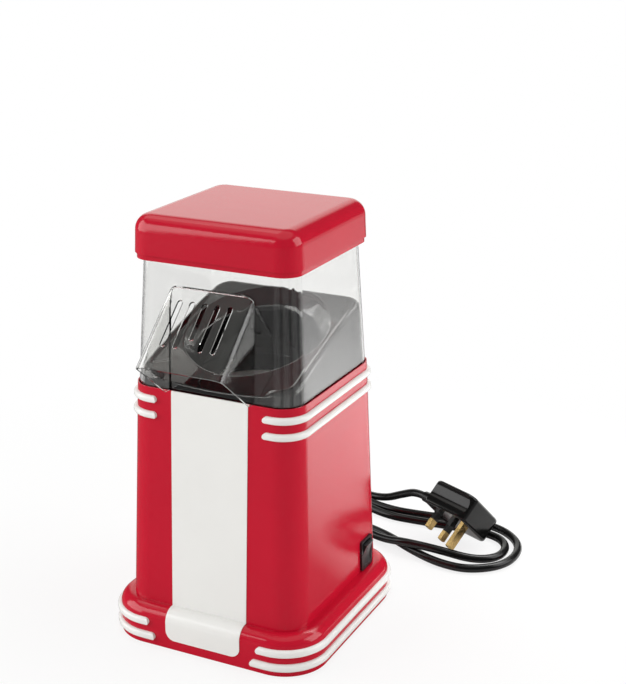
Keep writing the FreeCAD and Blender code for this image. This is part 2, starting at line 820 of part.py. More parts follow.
# Mica cross on the blower's top ring and the heater coil wound round it
def heater_cross():
    half = board_thick / 2
    wings = []
    for turn in (0, 90):
        wing = block(-board_half, board_half, -half, half, housing_top + board_foot, board_top)
        reach = shroud_radius - fit_gap
        arms = block(-reach, reach, -half, half, housing_top, board_top)
        under = block(-housing_mouth, housing_mouth, -half, half, housing_top, board_top - board_foot / 2)
        arms = arms.cut(under)
        wing = fused([wing, arms])
        wing.rotate(V(), UP, turn)
        wings.append(wing)
    cross = fused(wings)
    cross.translate(tower_axis)
    return cross


keep("heater_boards", heater_cross())
coil_corner = (board_half + coil_wire / 2 + fit_gap) / math.cos(math.pi / coil_sides)
coil_low = board_top - board_foot / 2 - coil_pitch * coil_turns - coil_wire
coil_points = []
for step in range(coil_turns * coil_sides + 1):
    turn = 2 * math.pi * step / coil_sides
    height = coil_low + coil_pitch * step / coil_sides
    coil_points.append((coil_corner * math.cos(turn), axis_y + coil_corner * math.sin(turn), height))
coil, coil_path, coil_radii = cord_tube(coil_points, coil_wire)
keep("heater_coil", coil)

# Thermostat and thermal fuse on the shroud's wall
seat = V(0, axis_y + shroud_out, thermostat_z)
saddle = rod(thermostat_radius, V(0, axis_y, thermostat_z), seat + V(0, thermostat_deep, 0))
saddle = saddle.cut(rod(shroud_out, shroud_base, V(0, axis_y, shroud_top)))
keep("thermostat", saddle)
fuse_x = -shroud_out - fuse_radius
fuse = rod(fuse_radius, V(fuse_x, axis_y, thermostat_z), V(fuse_x, axis_y, thermostat_z + fuse_long))
keep("thermal_fuse", fuse)

# Blower housing on the plate's columns
housing_out = housing_radius + housing_wall


def blower_housing():
    drum = turned(
        [
            (inlet_radius, housing_low), (housing_out, housing_low), (housing_out, housing_top),
            (housing_mouth, housing_top), (housing_mouth, housing_top - housing_plate),
            (housing_radius, housing_top - housing_plate), (housing_radius, housing_low + housing_plate),
            (inlet_radius, housing_low + housing_plate),
        ],
        tower_axis,
    )
    hub = rod(spider_radius, V(0, axis_y, housing_low), V(0, axis_y, housing_low + housing_plate))
    half = spider_arm_wide / 2
    arm = block(spider_radius - 2, inlet_radius + 1, -half, half, housing_low, housing_low + housing_plate)
    arm.translate(tower_axis)
    pieces = [drum, hub] + around(arm, spider_arms, tower_axis, 90.0)
    for x, y in column_places:
        ear_top = housing_low + lug_thick
        ear = rod(lug_radius, V(x, y, housing_low), V(x, y, ear_top))
        web = block(0, math.hypot(x, y - axis_y) - housing_radius - 0.5, -3, 3, housing_low, ear_top)
        web.translate(V(housing_radius + 0.5, 0, 0))
        web.rotate(V(), UP, math.degrees(math.atan2(y - axis_y, x)))
        web.translate(tower_axis)
        pieces += [ear, web]
    whole = fused(pieces)
    hole_low = housing_low - 1
    hole_top = housing_low + lug_thick + 1
    for x, y in column_places:
        whole = whole.cut(rod(screw_radius + fit_gap, V(x, y, hole_low), V(x, y, hole_top)))
    whole = whole.cut(rod(motor_boss_radius + fit_gap, V(0, axis_y, hole_low), V(0, axis_y, hole_top)))
    for x in (-1, 1):
        place = V(x * motor_radius * 0.65, axis_y, hole_low)
        whole = whole.cut(rod(screw_radius + fit_gap, place, place + V(0, 0, hole_top - hole_low)))
    return whole


keep("fan_housing", blower_housing())
keep("housing_screws", *[screw(x, y, housing_low + lug_thick, -1) for x, y in column_places])

# Impeller: top plate, hub and leaning blades, fixed on the motor's shaft
def impeller():
    plate_low_z = impeller_top - impeller_plate
    plate = rod(impeller_radius, V(0, axis_y, plate_low_z), V(0, axis_y, impeller_top))
    hub = rod(hub_radius, V(0, axis_y, impeller_low), V(0, axis_y, impeller_top))
    half = blade_thick / 2
    blade = block(0, impeller_radius, -half, half, impeller_low, plate_low_z + impeller_plate / 2)
    blade.rotate(V(), UP, blade_lean)
    blade.translate(V(blade_inner, axis_y, 0))
    rim = rod(impeller_radius, V(0, axis_y, impeller_low), V(0, axis_y, impeller_top))
    blades = [copy.common(rim) for copy in around(blade, blade_count, tower_axis)]
    whole = fused([plate, hub] + blades)
    return whole.cut(rod(shaft_radius, V(0, axis_y, impeller_low - 1), V(0, axis_y, impeller_top + 1)))


keep("fan_impeller", impeller())

# Motor hung under the blower's spider
motor_top = housing_low
motor_low = motor_top - motor_long
cap_low = motor_low - motor_cap_thick
bore = shaft_radius + shaft_gap
can_inside = motor_radius - motor_sheet
motor_can = turned(
    [
        (bore, motor_top - motor_sheet), (can_inside, motor_top - motor_sheet), (can_inside, motor_low),
        (motor_radius, motor_low), (motor_radius, motor_top), (motor_boss_radius, motor_top),
        (motor_boss_radius, motor_top + motor_boss_tall), (bore, motor_top + motor_boss_tall),
    ],
    tower_axis,
)
motor_screw_places = [(x * motor_radius * 0.65, axis_y) for x in (-1, 1)]
motor_screw_seat = housing_low + housing_plate
for x, y in motor_screw_places:
    motor_can = motor_can.cut(rod(screw_radius, V(x, y, motor_top - 5), V(x, y, motor_top + 1)))
keep("motor_can", motor_can)
motor_fixings = []
for x, y in motor_screw_places:
    shank = rod(screw_radius, V(x, y, motor_top - motor_sheet - 1), V(x, y, motor_screw_seat))
    head = rod(screw_head_radius, V(x, y, motor_screw_seat), V(x, y, motor_screw_seat + screw_head_tall))
    motor_fixings.append(fused([shank, head]))
keep("motor_screws", *motor_fixings)
spacer_low = cap_low - board_disc_drop
end_cap = turned(
    [(bore, cap_low), (motor_radius, cap_low), (motor_radius, motor_low), (bore, motor_low)],
    tower_axis,
)
spacer_x = board_disc_radius * 0.7
spacers = [
    rod(screw_radius, V(x, axis_y, spacer_low), V(x, axis_y, cap_low))
    for x in (-spacer_x, spacer_x)
]
keep("motor_end_cap", fused([end_cap] + spacers))
shaft_top = impeller_top + shaft_above_hub
keep("motor_shaft", rod(shaft_radius, V(0, axis_y, cap_low), V(0, axis_y, shaft_top)))
armature_mid = (motor_low + motor_top) / 2
armature_radius = can_inside - magnet_thick - armature_gap
armature = turned(
    [
        (shaft_radius, armature_mid - armature_long / 2), (armature_radius, armature_mid - armature_long / 2),
        (armature_radius, armature_mid + armature_long / 2), (shaft_radius, armature_mid + armature_long / 2),
    ],
    tower_axis,
)
keep("motor_armature", armature)
magnet = Part.makeCylinder(can_inside, armature_long, V(0, 0, 0), UP, magnet_spread)
magnet = magnet.cut(rod(can_inside - magnet_thick, V(0, 0, -1), V(0, 0, armature_long + 1)))
magnet.translate(V(0, axis_y, armature_mid - armature_long / 2))
keep("motor_magnets", *around(magnet, 2, tower_axis, -magnet_spread / 2))
disc_low = spacer_low - board_disc_thick
rectifier = rod(board_disc_radius, V(0, axis_y, disc_low), V(0, axis_y, spacer_low))
keep("rectifier_board", rectifier)
diode_z = disc_low - diode_radius
diode = rod(diode_radius, V(-diode_long / 2, axis_y + board_disc_radius * 0.55, diode_z),
            V(diode_long / 2, axis_y + board_disc_radius * 0.55, diode_z))
keep("rectifier_diodes", *around(diode, 4, tower_axis))

# Cord entry: strain relief, inner lead, clamp and terminal block
cord_radius = cord_diameter / 2
plinth_back = plinth_depth / 2
relief_tip_y = plinth_back + relief_long
inner_head = relief_flange_thick - 0.5
relief = turned(
    [
        (cord_radius, -inner_head - plinth_wall), (relief_flange_radius, -inner_head - plinth_wall),
        (relief_flange_radius, -plinth_wall), (relief_neck_radius, -plinth_wall), (relief_neck_radius, 0),
        (relief_flange_radius, 0), (relief_flange_radius, relief_flange_thick),
        (relief_root_radius, relief_flange_thick), (relief_tip_radius, relief_long), (cord_radius, relief_long),
    ],
    V(entry_x, plinth_back, entry_z),
    BACK,
)
keep("cord_strain_relief", relief)
block_back = plinth_back - block_gap_to_wall
lead_end = V(entry_x, relief_tip_y - 2 * fit_gap, entry_z)
keep("inner_lead", rod(cord_radius, V(entry_x, block_back, entry_z), lead_end))
block_front = block_back - block_deep
block_left = column_radius + block_clear - column_x
block_middle = block_left + block_wide / 2
terminal = block(block_left, block_left + block_wide, block_front, block_back, plate_top, plate_top + block_tall)
for step in (-1, 0, 1):
    well = V(block_middle + step * block_wide / 3, block_back - block_deep / 2, plate_top + block_tall / 2)
    terminal = terminal.cut(rod(2.2, well, well + V(0, 0, block_tall)))
keep("terminal_block", terminal)
half_clamp = clamp_wide / 2
clamp_y = block_back + 2.0
saddle_block = block(entry_x - half_clamp, entry_x + half_clamp, clamp_y, clamp_y + clamp_deep,
                     plate_top, plate_top + clamp_tall)
lead_hole = rod(cord_radius, V(entry_x, block_back - 1, entry_z), V(entry_x, plinth_back, entry_z))
keep("cord_clamp", saddle_block.cut(lead_hole))

# Rocker switch, modelled about its centre on the wall with +X outwards
def switch_case():
    bezel = side_plate(bezel_wide, bezel_tall, bezel_corner, 0, bezel_thick)
    case = side_plate(switch_box_wide, switch_box_tall, 0.8, -switch_box_deep, 0)
    window = side_plate(window_wide, window_tall, 0.6, -window_deep, bezel_thick + 1)
    whole = fused([bezel, case]).cut(window)
    wide = window_wide / 2 + pin_long + pin_gap
    pivot = V(-rocker_pivot_deep, 0, 0)
    return whole.cut(rod(pin_radius + pin_gap, pivot - BACK * wide, pivot + BACK * wide))


def rocker_paddle():
    half = rocker_half
    crest = rocker_crest
    inner = -rocker_pivot_deep - 2.2
    face_arc = Part.Arc(V(crest, 0, half), V(rocker_dip, 0, 0), V(crest, 0, -half)).toShape()
    corners = [
        V(crest, 0, -half), V(0, 0, -half), V(inner, 0, -2.5),
        V(inner, 0, 2.5), V(0, 0, half), V(crest, 0, half),
    ]
    edges = [face_arc] + [Part.LineSegment(a, b).toShape() for a, b in zip(corners, corners[1:])]
    paddle = Part.Face(Part.Wire(Part.__sortEdges__(edges))).extrude(V(0, rocker_wide, 0))
    paddle.translate(V(0, -rocker_wide / 2, 0))
    pivot = V(-rocker_pivot_deep, 0, 0)
    reach = window_wide / 2 + pin_long
    pins = rod(pin_radius, pivot - BACK * reach, pivot + BACK * reach)
    whole = fused([paddle, pins])
    whole.rotate(pivot, BACK, rocker_tilt)
    return whole


keep("switch_housing", on_side_wall(switch_case()))
keep("switch_rocker", on_side_wall(rocker_paddle()))
tabs = []
for side in (-1, 1):
    tab = block(-switch_box_deep - tab_long, -switch_box_deep, -tab_wide / 2, tab_wide / 2,
                side * 5.0 - tab_thick / 2, side * 5.0 + tab_thick / 2)
    tabs.append(on_side_wall(tab))
keep("switch_tabs", *tabs)

# Insulated wires: terminal block to switch, and switch to thermostat
tab_end = switch_x - switch_box_deep - tab_long - fit_gap
wire_x = block_middle + block_wide / 3
wire_z = plate_top + block_tall - wire_clear
first_wire, first_path, first_radii = cord_tube(
    [
        (wire_x, block_front - fit_gap, wire_z), (wire_x, block_front - wire_straight, wire_z),
        (wire_x + 2 * wire_straight, switch_y - wire_clear, switch_z / 2),
        (tab_end - wire_straight, switch_y, switch_z - 5.0), (tab_end, switch_y, switch_z - 5.0),
    ],
    wire_diameter,
)


def beside_blower(turn, z):
    """Point just outside the blower, turned from the right-hand side towards the back."""
    reach = housing_out + wire_clear
    return (reach * math.cos(math.radians(turn)), axis_y + reach * math.sin(math.radians(turn)), z)


thermostat_y = axis_y + shroud_out + thermostat_deep / 2
second_wire, second_path, second_radii = cord_tube(
    [
        (tab_end, switch_y, switch_z + 5.0), (tab_end - wire_straight, switch_y, switch_z + 5.0),
        beside_blower(44, housing_low + 6), beside_blower(46, housing_top - 2),
        beside_blower(52, housing_top + 14), beside_blower(62, thermostat_z - 18),
        (thermostat_radius + 14, thermostat_y, thermostat_z), (thermostat_radius, thermostat_y, thermostat_z),
    ],
    wire_diameter,
)
keep("inner_wires", first_wire, second_wire)

# Clear hopper: tapered box with a rim bead and a slotted visor over its chute
def front_wall(height):
    """How far forward the hopper's front wall is, at a height above its bottom edge."""
    return -between(hopper_low, hopper_high, groove_floor + height)[1] / 2


visor_back = front_wall(chute_top)
visor_front = -front_reach
visor_lean = math.atan2(chute_top - visor_lip, visor_back - visor_front)


def hood(inset):
    """Block of the chute with a round-cornered roof that falls towards the lip."""
    roof_top = chute_top - inset / math.cos(visor_lean)
    width = chute_width - 2 * inset
    face = prism((width, 2 * roof_top, chute_corner - inset, 0), 1)
    face.rotate(V(), ACROSS, 90)
    outline = [edge for edge in face.Edges if max(abs(v.Y) for v in edge.Vertexes) < 0.01]
    front = Part.Face(Part.Wire(Part.__sortEdges__(outline)))
    overrun = 1.4 * (visor_back - visor_front)
    run = V(0, -overrun, -overrun * math.tan(visor_lean))
    front.translate(V(0, visor_back, groove_floor))
    forward = front.extrude(run)
    backward = front.extrude(V(0, 12, 0))
    return forward.fuse(backward)


def hopper():
    walls = taper(hopper_low, hopper_high)
    bead = between(hopper_low, hopper_high, hopper_top - rim_bead_tall, -rim_bead_proud)
    bead_top = between(hopper_low, hopper_high, hopper_top, -rim_bead_proud)
    walls = walls.fuse(taper(bead, bead_top))
    inside = taper(
        (hopper_inside[0][0], hopper_inside[0][1], hopper_inside[0][2], groove_floor),
        (hopper_inside[1][0], hopper_inside[1][1], hopper_inside[1][2], hopper_top),
    )
    side = [
        V(0, visor_back, groove_floor + chute_top), V(0, visor_front, groove_floor + visor_lip),
        V(0, front_wall(0), groove_floor), V(0, front_wall(0) + 1, groove_floor),
        V(0, visor_back + 1, groove_floor + chute_top),
    ]
    cheek = Part.Face(Part.makePolygon(side + side[:1])).extrude(V(chute_width, 0, 0))
    cheek.translate(V(-chute_width / 2, 0, 0))
    lip_room = block(
        -chute_width, chute_width, visor_front - 5, front_wall(0), groove_floor - 1, body_top + hopper_gap
    )
    chute = hood(0.0).common(cheek).cut(lip_room)
    mouth_room = block(
        -chute_width, chute_width, visor_front - 5, front_wall(0) + 12, groove_floor - 1, groove_floor + chute_top
    )
    whole = walls.fuse(chute).cut(inside).cut(hood(hopper_wall).common(mouth_room))
    for step in range(visor_slots):
        offset = step - (visor_slots - 1) / 2
        long = visor_slot_middle if offset == 0 else visor_slot_long
        slot = prism((visor_slot_wide, long, visor_slot_wide / 2 - 0.01, -4), 4)
        slot.translate(V(offset * visor_slot_pitch, -visor_slot_start - long / 2, 0))
        slot.rotate(V(), ACROSS, math.degrees(visor_lean))
        slot.translate(V(0, visor_back, groove_floor + chute_top))
        whole = whole.cut(slot)
    return whole.removeSplitter()


keep("hopper", hopper())

# Cap: rounded shell with a stepped lip and ribs that sit on the hopper's rim
def lid():
    low = hopper_top - lid_overlap
    step = low + lid_lip_tall
    top = low + lid_height
    skirt_low = (lid_width, lid_depth, lid_corner, step)
    skirt_high = (lid_width - 2 * lid_draft, lid_depth - 2 * lid_draft, lid_corner - lid_draft, top)
    cap = taper(skirt_low, skirt_high)
    rim = [edge for edge in cap.Edges if min(v.Z for v in edge.Vertexes) > top - 0.01]
    cap = cap.makeFillet(lid_round, rim)
    hollow_top = top - lid_wall
    hollow = taper(
        between(skirt_low, skirt_high, step, lid_wall),
        between(skirt_low, skirt_high, hollow_top, lid_wall),
    )
    rim = [edge for edge in hollow.Edges if min(v.Z for v in edge.Vertexes) > hollow_top - 0.01]
    hollow = hollow.makeFillet(lid_round - lid_wall, rim)
    lip = prism(
        (lid_width - 2 * lid_lip_inset, lid_depth - 2 * lid_lip_inset, lid_corner - lid_lip_inset, low),
        step + lid_wall,
    )
    lip_in = lid_lip_inset + lid_lip_wall
    lip_hole = prism(
        (lid_width - 2 * lip_in, lid_depth - 2 * lip_in, lid_corner - lip_in, low - 1),
        step + lid_wall + 1,
    )
    cap = cap.fuse(lip).cut([hollow.cut(lip), lip_hole])
    ribs = []
    rib_in_x = hopper_width_top / 2 - lid_rib_reach
    rib_in_y = hopper_depth_top / 2 - lid_rib_reach
    thick = lid_rib_thick / 2
    for side in (-1, 1):
        for place in (-lid_width / 5, lid_width / 5):
            across = block(rib_in_x, lid_width / 2, place - thick, place + thick, hopper_top, top)
            along = block(place - thick, place + thick, rib_in_y, lid_depth / 2, hopper_top, top)
            for rib in (across, along):
                if side < 0:
                    rib.rotate(V(), UP, 180)
                ribs.append(rib.common(hollow))
    return fused([cap] + ribs)


keep("lid", lid())

# Plug, modelled with its pins along +Z and its earth pin towards +X, then laid on the table
plug_turned = FreeCAD.Rotation(UP, plug_turn).multiply(FreeCAD.Rotation(ACROSS, plug_roll))
plug_seat = FreeCAD.Placement(plug_place, plug_turned)


def laid(solid):
    solid.Placement = plug_seat.multiply(solid.Placement)
    return solid


def plug_half(low, high, rounded_at):
    middle = (plug_earth_end - plug_cord_end) / 2
    half = prism((plug_earth_end + plug_cord_end, plug_wide, plug_corner, low), high)
    half.translate(V(middle, 0, 0))
    rim = [
        edge for edge in half.Edges
        if all(abs(v.Z - rounded_at) < 0.01 for v in edge.Vertexes)
    ]
    half = half.makeFillet(plug_edge_round, rim)
    reach = plug_earth_end + plug_cord_end
    scoop_y = plug_wide / 2 + plug_scoop_radius - plug_scoop_deep
    for side in (-1, 1):
        mid = V(-reach, side * scoop_y, -plug_base_deep)
        half = half.cut(rod(plug_scoop_radius, mid, mid + V(2 * reach, 0, 0)))
    return half


guard_start = V(-plug_cord_end + 3.0, 0, -guard_deep)
guard_end = V(-plug_cord_end - guard_long, 0, -guard_deep)
guard = Part.makeCone(guard_root_radius, guard_tip_radius, (guard_end - guard_start).Length, guard_start, -ACROSS)
earth_x = pin_row / 2
power_x = -pin_row / 2
earth_pin = block(earth_x - earth_thick / 2, earth_x + earth_thick / 2, -earth_wide / 2, earth_wide / 2,
                  -pin_root, earth_long)
tip_edges = [edge for edge in earth_pin.Edges if all(abs(v.Z - earth_long) < 0.01 for v in edge.Vertexes)]
earth_pin = earth_pin.makeChamfer(1.0, tip_edges)
power_pins = []
sleeves = []
for side in (-1, 1):
    y = side * pin_row / 2
    blade = block(power_x - power_thick / 2, power_x + power_thick / 2, y - power_wide / 2, y + power_wide / 2,
                  -pin_root, power_long)
    waist = block(power_x - power_thick / 2, power_x + power_thick / 2, y - power_wide / 2, y + power_wide / 2,
                  0, sleeve_long)
    core = block(power_x - power_thick / 2 + sleeve_thick, power_x + power_thick / 2 - sleeve_thick,
                 y - power_wide / 2 + sleeve_thick, y + power_wide / 2 - sleeve_thick, 0, sleeve_long)
    sleeve = waist.cut(core)
    blade_tip = [edge for edge in blade.Edges if all(abs(v.Z - power_long) < 0.01 for v in edge.Vertexes)]
    power_pins.append(blade.makeChamfer(0.8, blade_tip).cut(sleeve))
    sleeves.append(sleeve)
plug_base = plug_half(-plug_base_deep, 0.0, 0.0).cut([guard, earth_pin] + power_pins)
plug_cover = plug_half(-plug_base_deep - plug_cover_deep, -plug_base_deep, -plug_base_deep - plug_cover_deep)
plug_cover = plug_cover.cut(guard)
loose = {
    "plug_base": [laid(plug_base)],
    "plug_cover": [laid(plug_cover)],
    "plug_cord_guard": [laid(guard)],
    "plug_earth_pin": [laid(earth_pin)],
    "plug_power_pins": [laid(pin) for pin in power_pins],
    "plug_pin_sleeves": [laid(sleeve) for sleeve in sleeves],
}

# Cord on the table, with its last point at the plug's guard
cord_end = plug_seat.multVec(guard_end)
cord_bend = plug_seat.multVec(guard_end - V(cord_straight, 0, 0))
cord_start = (entry_x, relief_tip_y + tower_back, entry_z)
cord_points = [cord_start] + cord_route + [tuple(cord_bend), tuple(cord_end)]
cord, cord_path, cord_radii = cord_tube(cord_points, cord_diameter)
loose["mains_cord"] = [cord]


def least_self_gap(path, diameter):
    """Least clear distance between stretches of the cord that aren't neighbours."""
    marks = path.discretize(Distance=4.0)
    skip = round(4 * diameter / 4.0)
    least = 1000.0
    for i, a in enumerate(marks):
        for b in marks[i + skip:]:
            least = min(least, a.distanceToPoint(b))
    return least - diameter


section = math.pi * cord_radius**2
print("cord length", round(cord_path.Length, 1), "volume over section times length",
      round(cord.Volume / (section * cord_path.Length), 4))
print("cord radii", [round(radius, 1) for radius in cord_radii])
print("cord least gap to itself", round(least_self_gap(cord_path, cord_diameter), 2))
print("wire radii", [round(radius, 1) for radius in first_radii + second_radii])

os.makedirs("parts", exist_ok=True)
for name, shape in parts.items():
    shape.translate(V(0, tower_back, 0))
for name, solids in loose.items():
    keep(name, *solids)
for name, shape in parts.items():
    shape.exportStep("parts/" + name + ".step")
    print(name, len(shape.Solids), shape.isValid(), round(shape.Volume / 1000, 2), "cm3")
print("tower_back", round(tower_back, 3), "nodes", len(parts))
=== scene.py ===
"""Popcorn maker: the finish of every piece, its mains lead, and the studio it stands in."""
import math

import bpy
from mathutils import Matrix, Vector


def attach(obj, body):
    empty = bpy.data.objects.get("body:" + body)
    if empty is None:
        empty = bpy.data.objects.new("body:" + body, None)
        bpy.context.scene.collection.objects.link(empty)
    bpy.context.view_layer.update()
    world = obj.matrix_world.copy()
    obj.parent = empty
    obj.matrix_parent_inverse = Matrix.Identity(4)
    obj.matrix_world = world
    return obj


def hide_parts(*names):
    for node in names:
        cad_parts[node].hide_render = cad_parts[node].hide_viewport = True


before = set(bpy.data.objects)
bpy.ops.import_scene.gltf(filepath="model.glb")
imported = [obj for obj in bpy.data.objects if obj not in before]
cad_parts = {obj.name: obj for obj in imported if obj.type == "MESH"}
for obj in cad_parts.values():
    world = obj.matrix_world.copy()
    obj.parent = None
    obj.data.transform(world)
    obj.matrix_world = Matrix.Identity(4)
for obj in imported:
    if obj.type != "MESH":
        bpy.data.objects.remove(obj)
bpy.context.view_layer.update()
bpy.context.scene.view_settings.view_transform = "Standard"


# Camera: a long lens a little above the cap, in front of the popcorn maker and to its right.
# It is level from side to side, so only its place and its aim are set.
CAMERA_PLACE = (0.4843, -0.8754, 0.5598)
CAMERA_AIM = (-0.418, 0.851, -0.317)
CAMERA_LENS = 74.8
bpy.ops.object.select_all(action="DESELECT")
bpy.ops.object.camera_add(
    location=CAMERA_PLACE,
    rotation=Vector(CAMERA_AIM).to_track_quat("-Z", "Y").to_euler(),
)
camera = bpy.context.object
camera.name = "studio_camera"
camera.data.lens = CAMERA_LENS
bpy.context.scene.camera = camera


# Mains lead: three cores in a round black PVC sheath, moulded in one with its plug.
# It leaves the strain relief, loops twice on the table behind the tower and ends at the plug.
LEAD_DIAMETER = 0.007
LEAD_EXIT = (-0.015, 0.135825, 0.0135)
LEAD_ROUTE = [
    LEAD_EXIT, (-0.015, 0.1489, 0.0125), (-0.0086, 0.1601, 0.0095), (0.0026, 0.1665, 0.006),
    (0.024, 0.1665, 0.0037), (0.046, 0.1565, 0.005), (0.07, 0.147, 0.0114), (0.1, 0.146, 0.0114),
    (0.13, 0.153, 0.005), (0.147, 0.169, 0.0037), (0.147, 0.192, 0.0037), (0.131, 0.208, 0.0037),
    (0.097, 0.209, 0.0037), (0.062, 0.2055, 0.0037), (0.028, 0.2035, 0.0037), (-0.008, 0.2195, 0.0037),
    (-0.0468, 0.222, 0.0037), (-0.062, 0.2068, 0.0037), (-0.062, 0.1852, 0.0037),
    (-0.0468, 0.17, 0.0037), (-0.018, 0.171, 0.0037), (0.012, 0.1775, 0.0037), (0.044, 0.168, 0.0037),
    (0.076, 0.149, 0.0037), (0.105, 0.137, 0.0037), (0.133, 0.137, 0.0037), (0.158, 0.16, 0.0037),
    (0.158, 0.198, 0.0037), (0.131, 0.224, 0.0037), (0.096, 0.225, 0.0037), (0.06, 0.219, 0.0037),
    (0.024, 0.216, 0.0037), (-0.012, 0.229, 0.0037), (-0.048, 0.233, 0.0037), (-0.08, 0.226, 0.0037),
    (-0.104, 0.214, 0.0037), (-0.128, 0.216, 0.0037), (-0.144, 0.232, 0.0037), (-0.144, 0.254, 0.0037),
    (-0.128, 0.27, 0.0037), (-0.104, 0.272, 0.0037), (-0.076, 0.26, 0.0037), (-0.044, 0.248, 0.0037),
    (-0.012, 0.2375, 0.0037), (0.016, 0.2275, 0.008), (0.04, 0.2165, 0.022), (0.05434, 0.20974, 0.02937),
    (0.06511, 0.20444, 0.02937),
]
NOISE_REACH = (0.3, 0.7)
PLASTIC_IOR = 1.5


def effect_group(name, inputs, outputs):
    """Empty shader node group with named sockets, and its two end nodes."""
    group = bpy.data.node_groups.new(name, "ShaderNodeTree")
    for label, kind, value in inputs:
        socket = group.interface.new_socket(name=label, in_out="INPUT", socket_type=kind)
        socket.default_value = value
    for label, kind in outputs:
        group.interface.new_socket(name=label, in_out="OUTPUT", socket_type=kind)
    return group, group.nodes.new("NodeGroupInput"), group.nodes.new("NodeGroupOutput")


def noise_at(group, coordinates, scale, detail):
    """Noise texture of the given scale in a node tree, and its factor socket."""
    noise = group.nodes.new("ShaderNodeTexNoise")
    noise.inputs["Scale"].default_value = scale
    noise.inputs["Detail"].default_value = detail
    group.links.new(coordinates, noise.inputs["Vector"])
    return noise.outputs["Fac"]


def worked_out(group, operation, first, second):
    """Math node on two sockets or numbers."""
    node = group.nodes.new("ShaderNodeMath")
    node.operation = operation
    for slot, value in zip(node.inputs, (first, second)):
        if isinstance(value, (int, float)):
            slot.default_value = value
        else:
            group.links.new(value, slot)
    return node.outputs[0]


def spread(group, factor, low, high):
    """Factor stretched from the range where noise mostly lies to low-high."""
    node = group.nodes.new("ShaderNodeMapRange")
    node.inputs["From Min"].default_value = NOISE_REACH[0]
    node.inputs["From Max"].default_value = NOISE_REACH[1]
    for label, value in (("To Min", low), ("To Max", high)):
        if isinstance(value, (int, float)):
            node.inputs[label].default_value = value
        else:
            group.links.new(value, node.inputs[label])
    group.links.new(factor, node.inputs["Value"])
    return node.outputs["Result"]


def shaded(group, colour, depth, factor):
    """Colour darkened by up to depth where factor is high."""
    mix = group.nodes.new("ShaderNodeMix")
    mix.data_type = "RGBA"
    mix.blend_type = "MULTIPLY"
    group.links.new(worked_out(group, "MULTIPLY", depth, factor), mix.inputs["Factor"])
    group.links.new(colour, mix.inputs["A"])
    mix.inputs["B"].default_value = (0.0, 0.0, 0.0, 1.0)
    return mix.outputs["Result"]


def make_moulded_skin():
    """Skin of a moulding: faint clouds in the colour, rub in the gloss, slow flow ripple and grain."""
    group, enter, leave = effect_group(
        "moulded_skin",
        [
            ("Colour", "NodeSocketColor", (0.5, 0.5, 0.5, 1.0)),
            ("Cloud", "NodeSocketFloat", 0.04),
            ("Gloss low", "NodeSocketFloat", 0.1),
            ("Gloss high", "NodeSocketFloat", 0.2),
            ("Ripple", "NodeSocketFloat", 0.5),
            ("Grain", "NodeSocketFloat", 0.1),
        ],
        [("Colour", "NodeSocketColor"), ("Roughness", "NodeSocketFloat"), ("Height", "NodeSocketFloat")],
    )
    place = group.nodes.new("ShaderNodeTexCoord").outputs["Object"]
    cloud = spread(group, noise_at(group, place, 16.0, 3.0), 0.0, 1.0)
    rub = noise_at(group, place, 210.0, 5.0)
    ripple = noise_at(group, place, 55.0, 1.0)
    grain = noise_at(group, place, 2400.0, 2.0)
    colour = shaded(group, enter.outputs["Colour"], enter.outputs["Cloud"], cloud)
    group.links.new(colour, leave.inputs["Colour"])
    rough = spread(group, rub, enter.outputs["Gloss low"], enter.outputs["Gloss high"])
    group.links.new(rough, leave.inputs["Roughness"])
    slow = worked_out(group, "MULTIPLY", ripple, enter.outputs["Ripple"])
    fine = worked_out(group, "MULTIPLY", grain, enter.outputs["Grain"])
    group.links.new(worked_out(group, "ADD", slow, fine), leave.inputs["Height"])
    return group


MOULDED_SKIN = make_moulded_skin()


def moulded(name, colour, gloss, cloud=0.04, ripple=0.5, grain=0.1, bump=0.0001, specular=0.5):
    """Moulded plastic or rubber in one colour, with a pair of roughness limits."""
    material = bpy.data.materials.new(name)
    material.use_nodes = True
    tree = material.node_tree
    shader = tree.nodes["Principled BSDF"]
    shader.inputs["IOR"].default_value = PLASTIC_IOR
    shader.inputs["Specular IOR Level"].default_value = specular
    skin = tree.nodes.new("ShaderNodeGroup")
    skin.node_tree = MOULDED_SKIN
    skin.inputs["Colour"].default_value = (*colour, 1.0)
    skin.inputs["Cloud"].default_value = cloud
    skin.inputs["Gloss low"].default_value = gloss[0]
    skin.inputs["Gloss high"].default_value = gloss[1]
    skin.inputs["Ripple"].default_value = ripple
    skin.inputs["Grain"].default_value = grain
    relief = tree.nodes.new("ShaderNodeBump")
    relief.inputs["Strength"].default_value = 1.0
    relief.inputs["Distance"].default_value = bump
    tree.links.new(skin.outputs["Colour"], shader.inputs["Base Color"])
    tree.links.new(skin.outputs["Roughness"], shader.inputs["Roughness"])
    tree.links.new(skin.outputs["Height"], relief.inputs["Height"])
    tree.links.new(relief.outputs["Normal"], shader.inputs["Normal"])
    return material


def dress(material, *names):
    """Give CAD nodes one material."""
    for name in names:
        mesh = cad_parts[name].data
        mesh.materials.clear()
        mesh.materials.append(material)


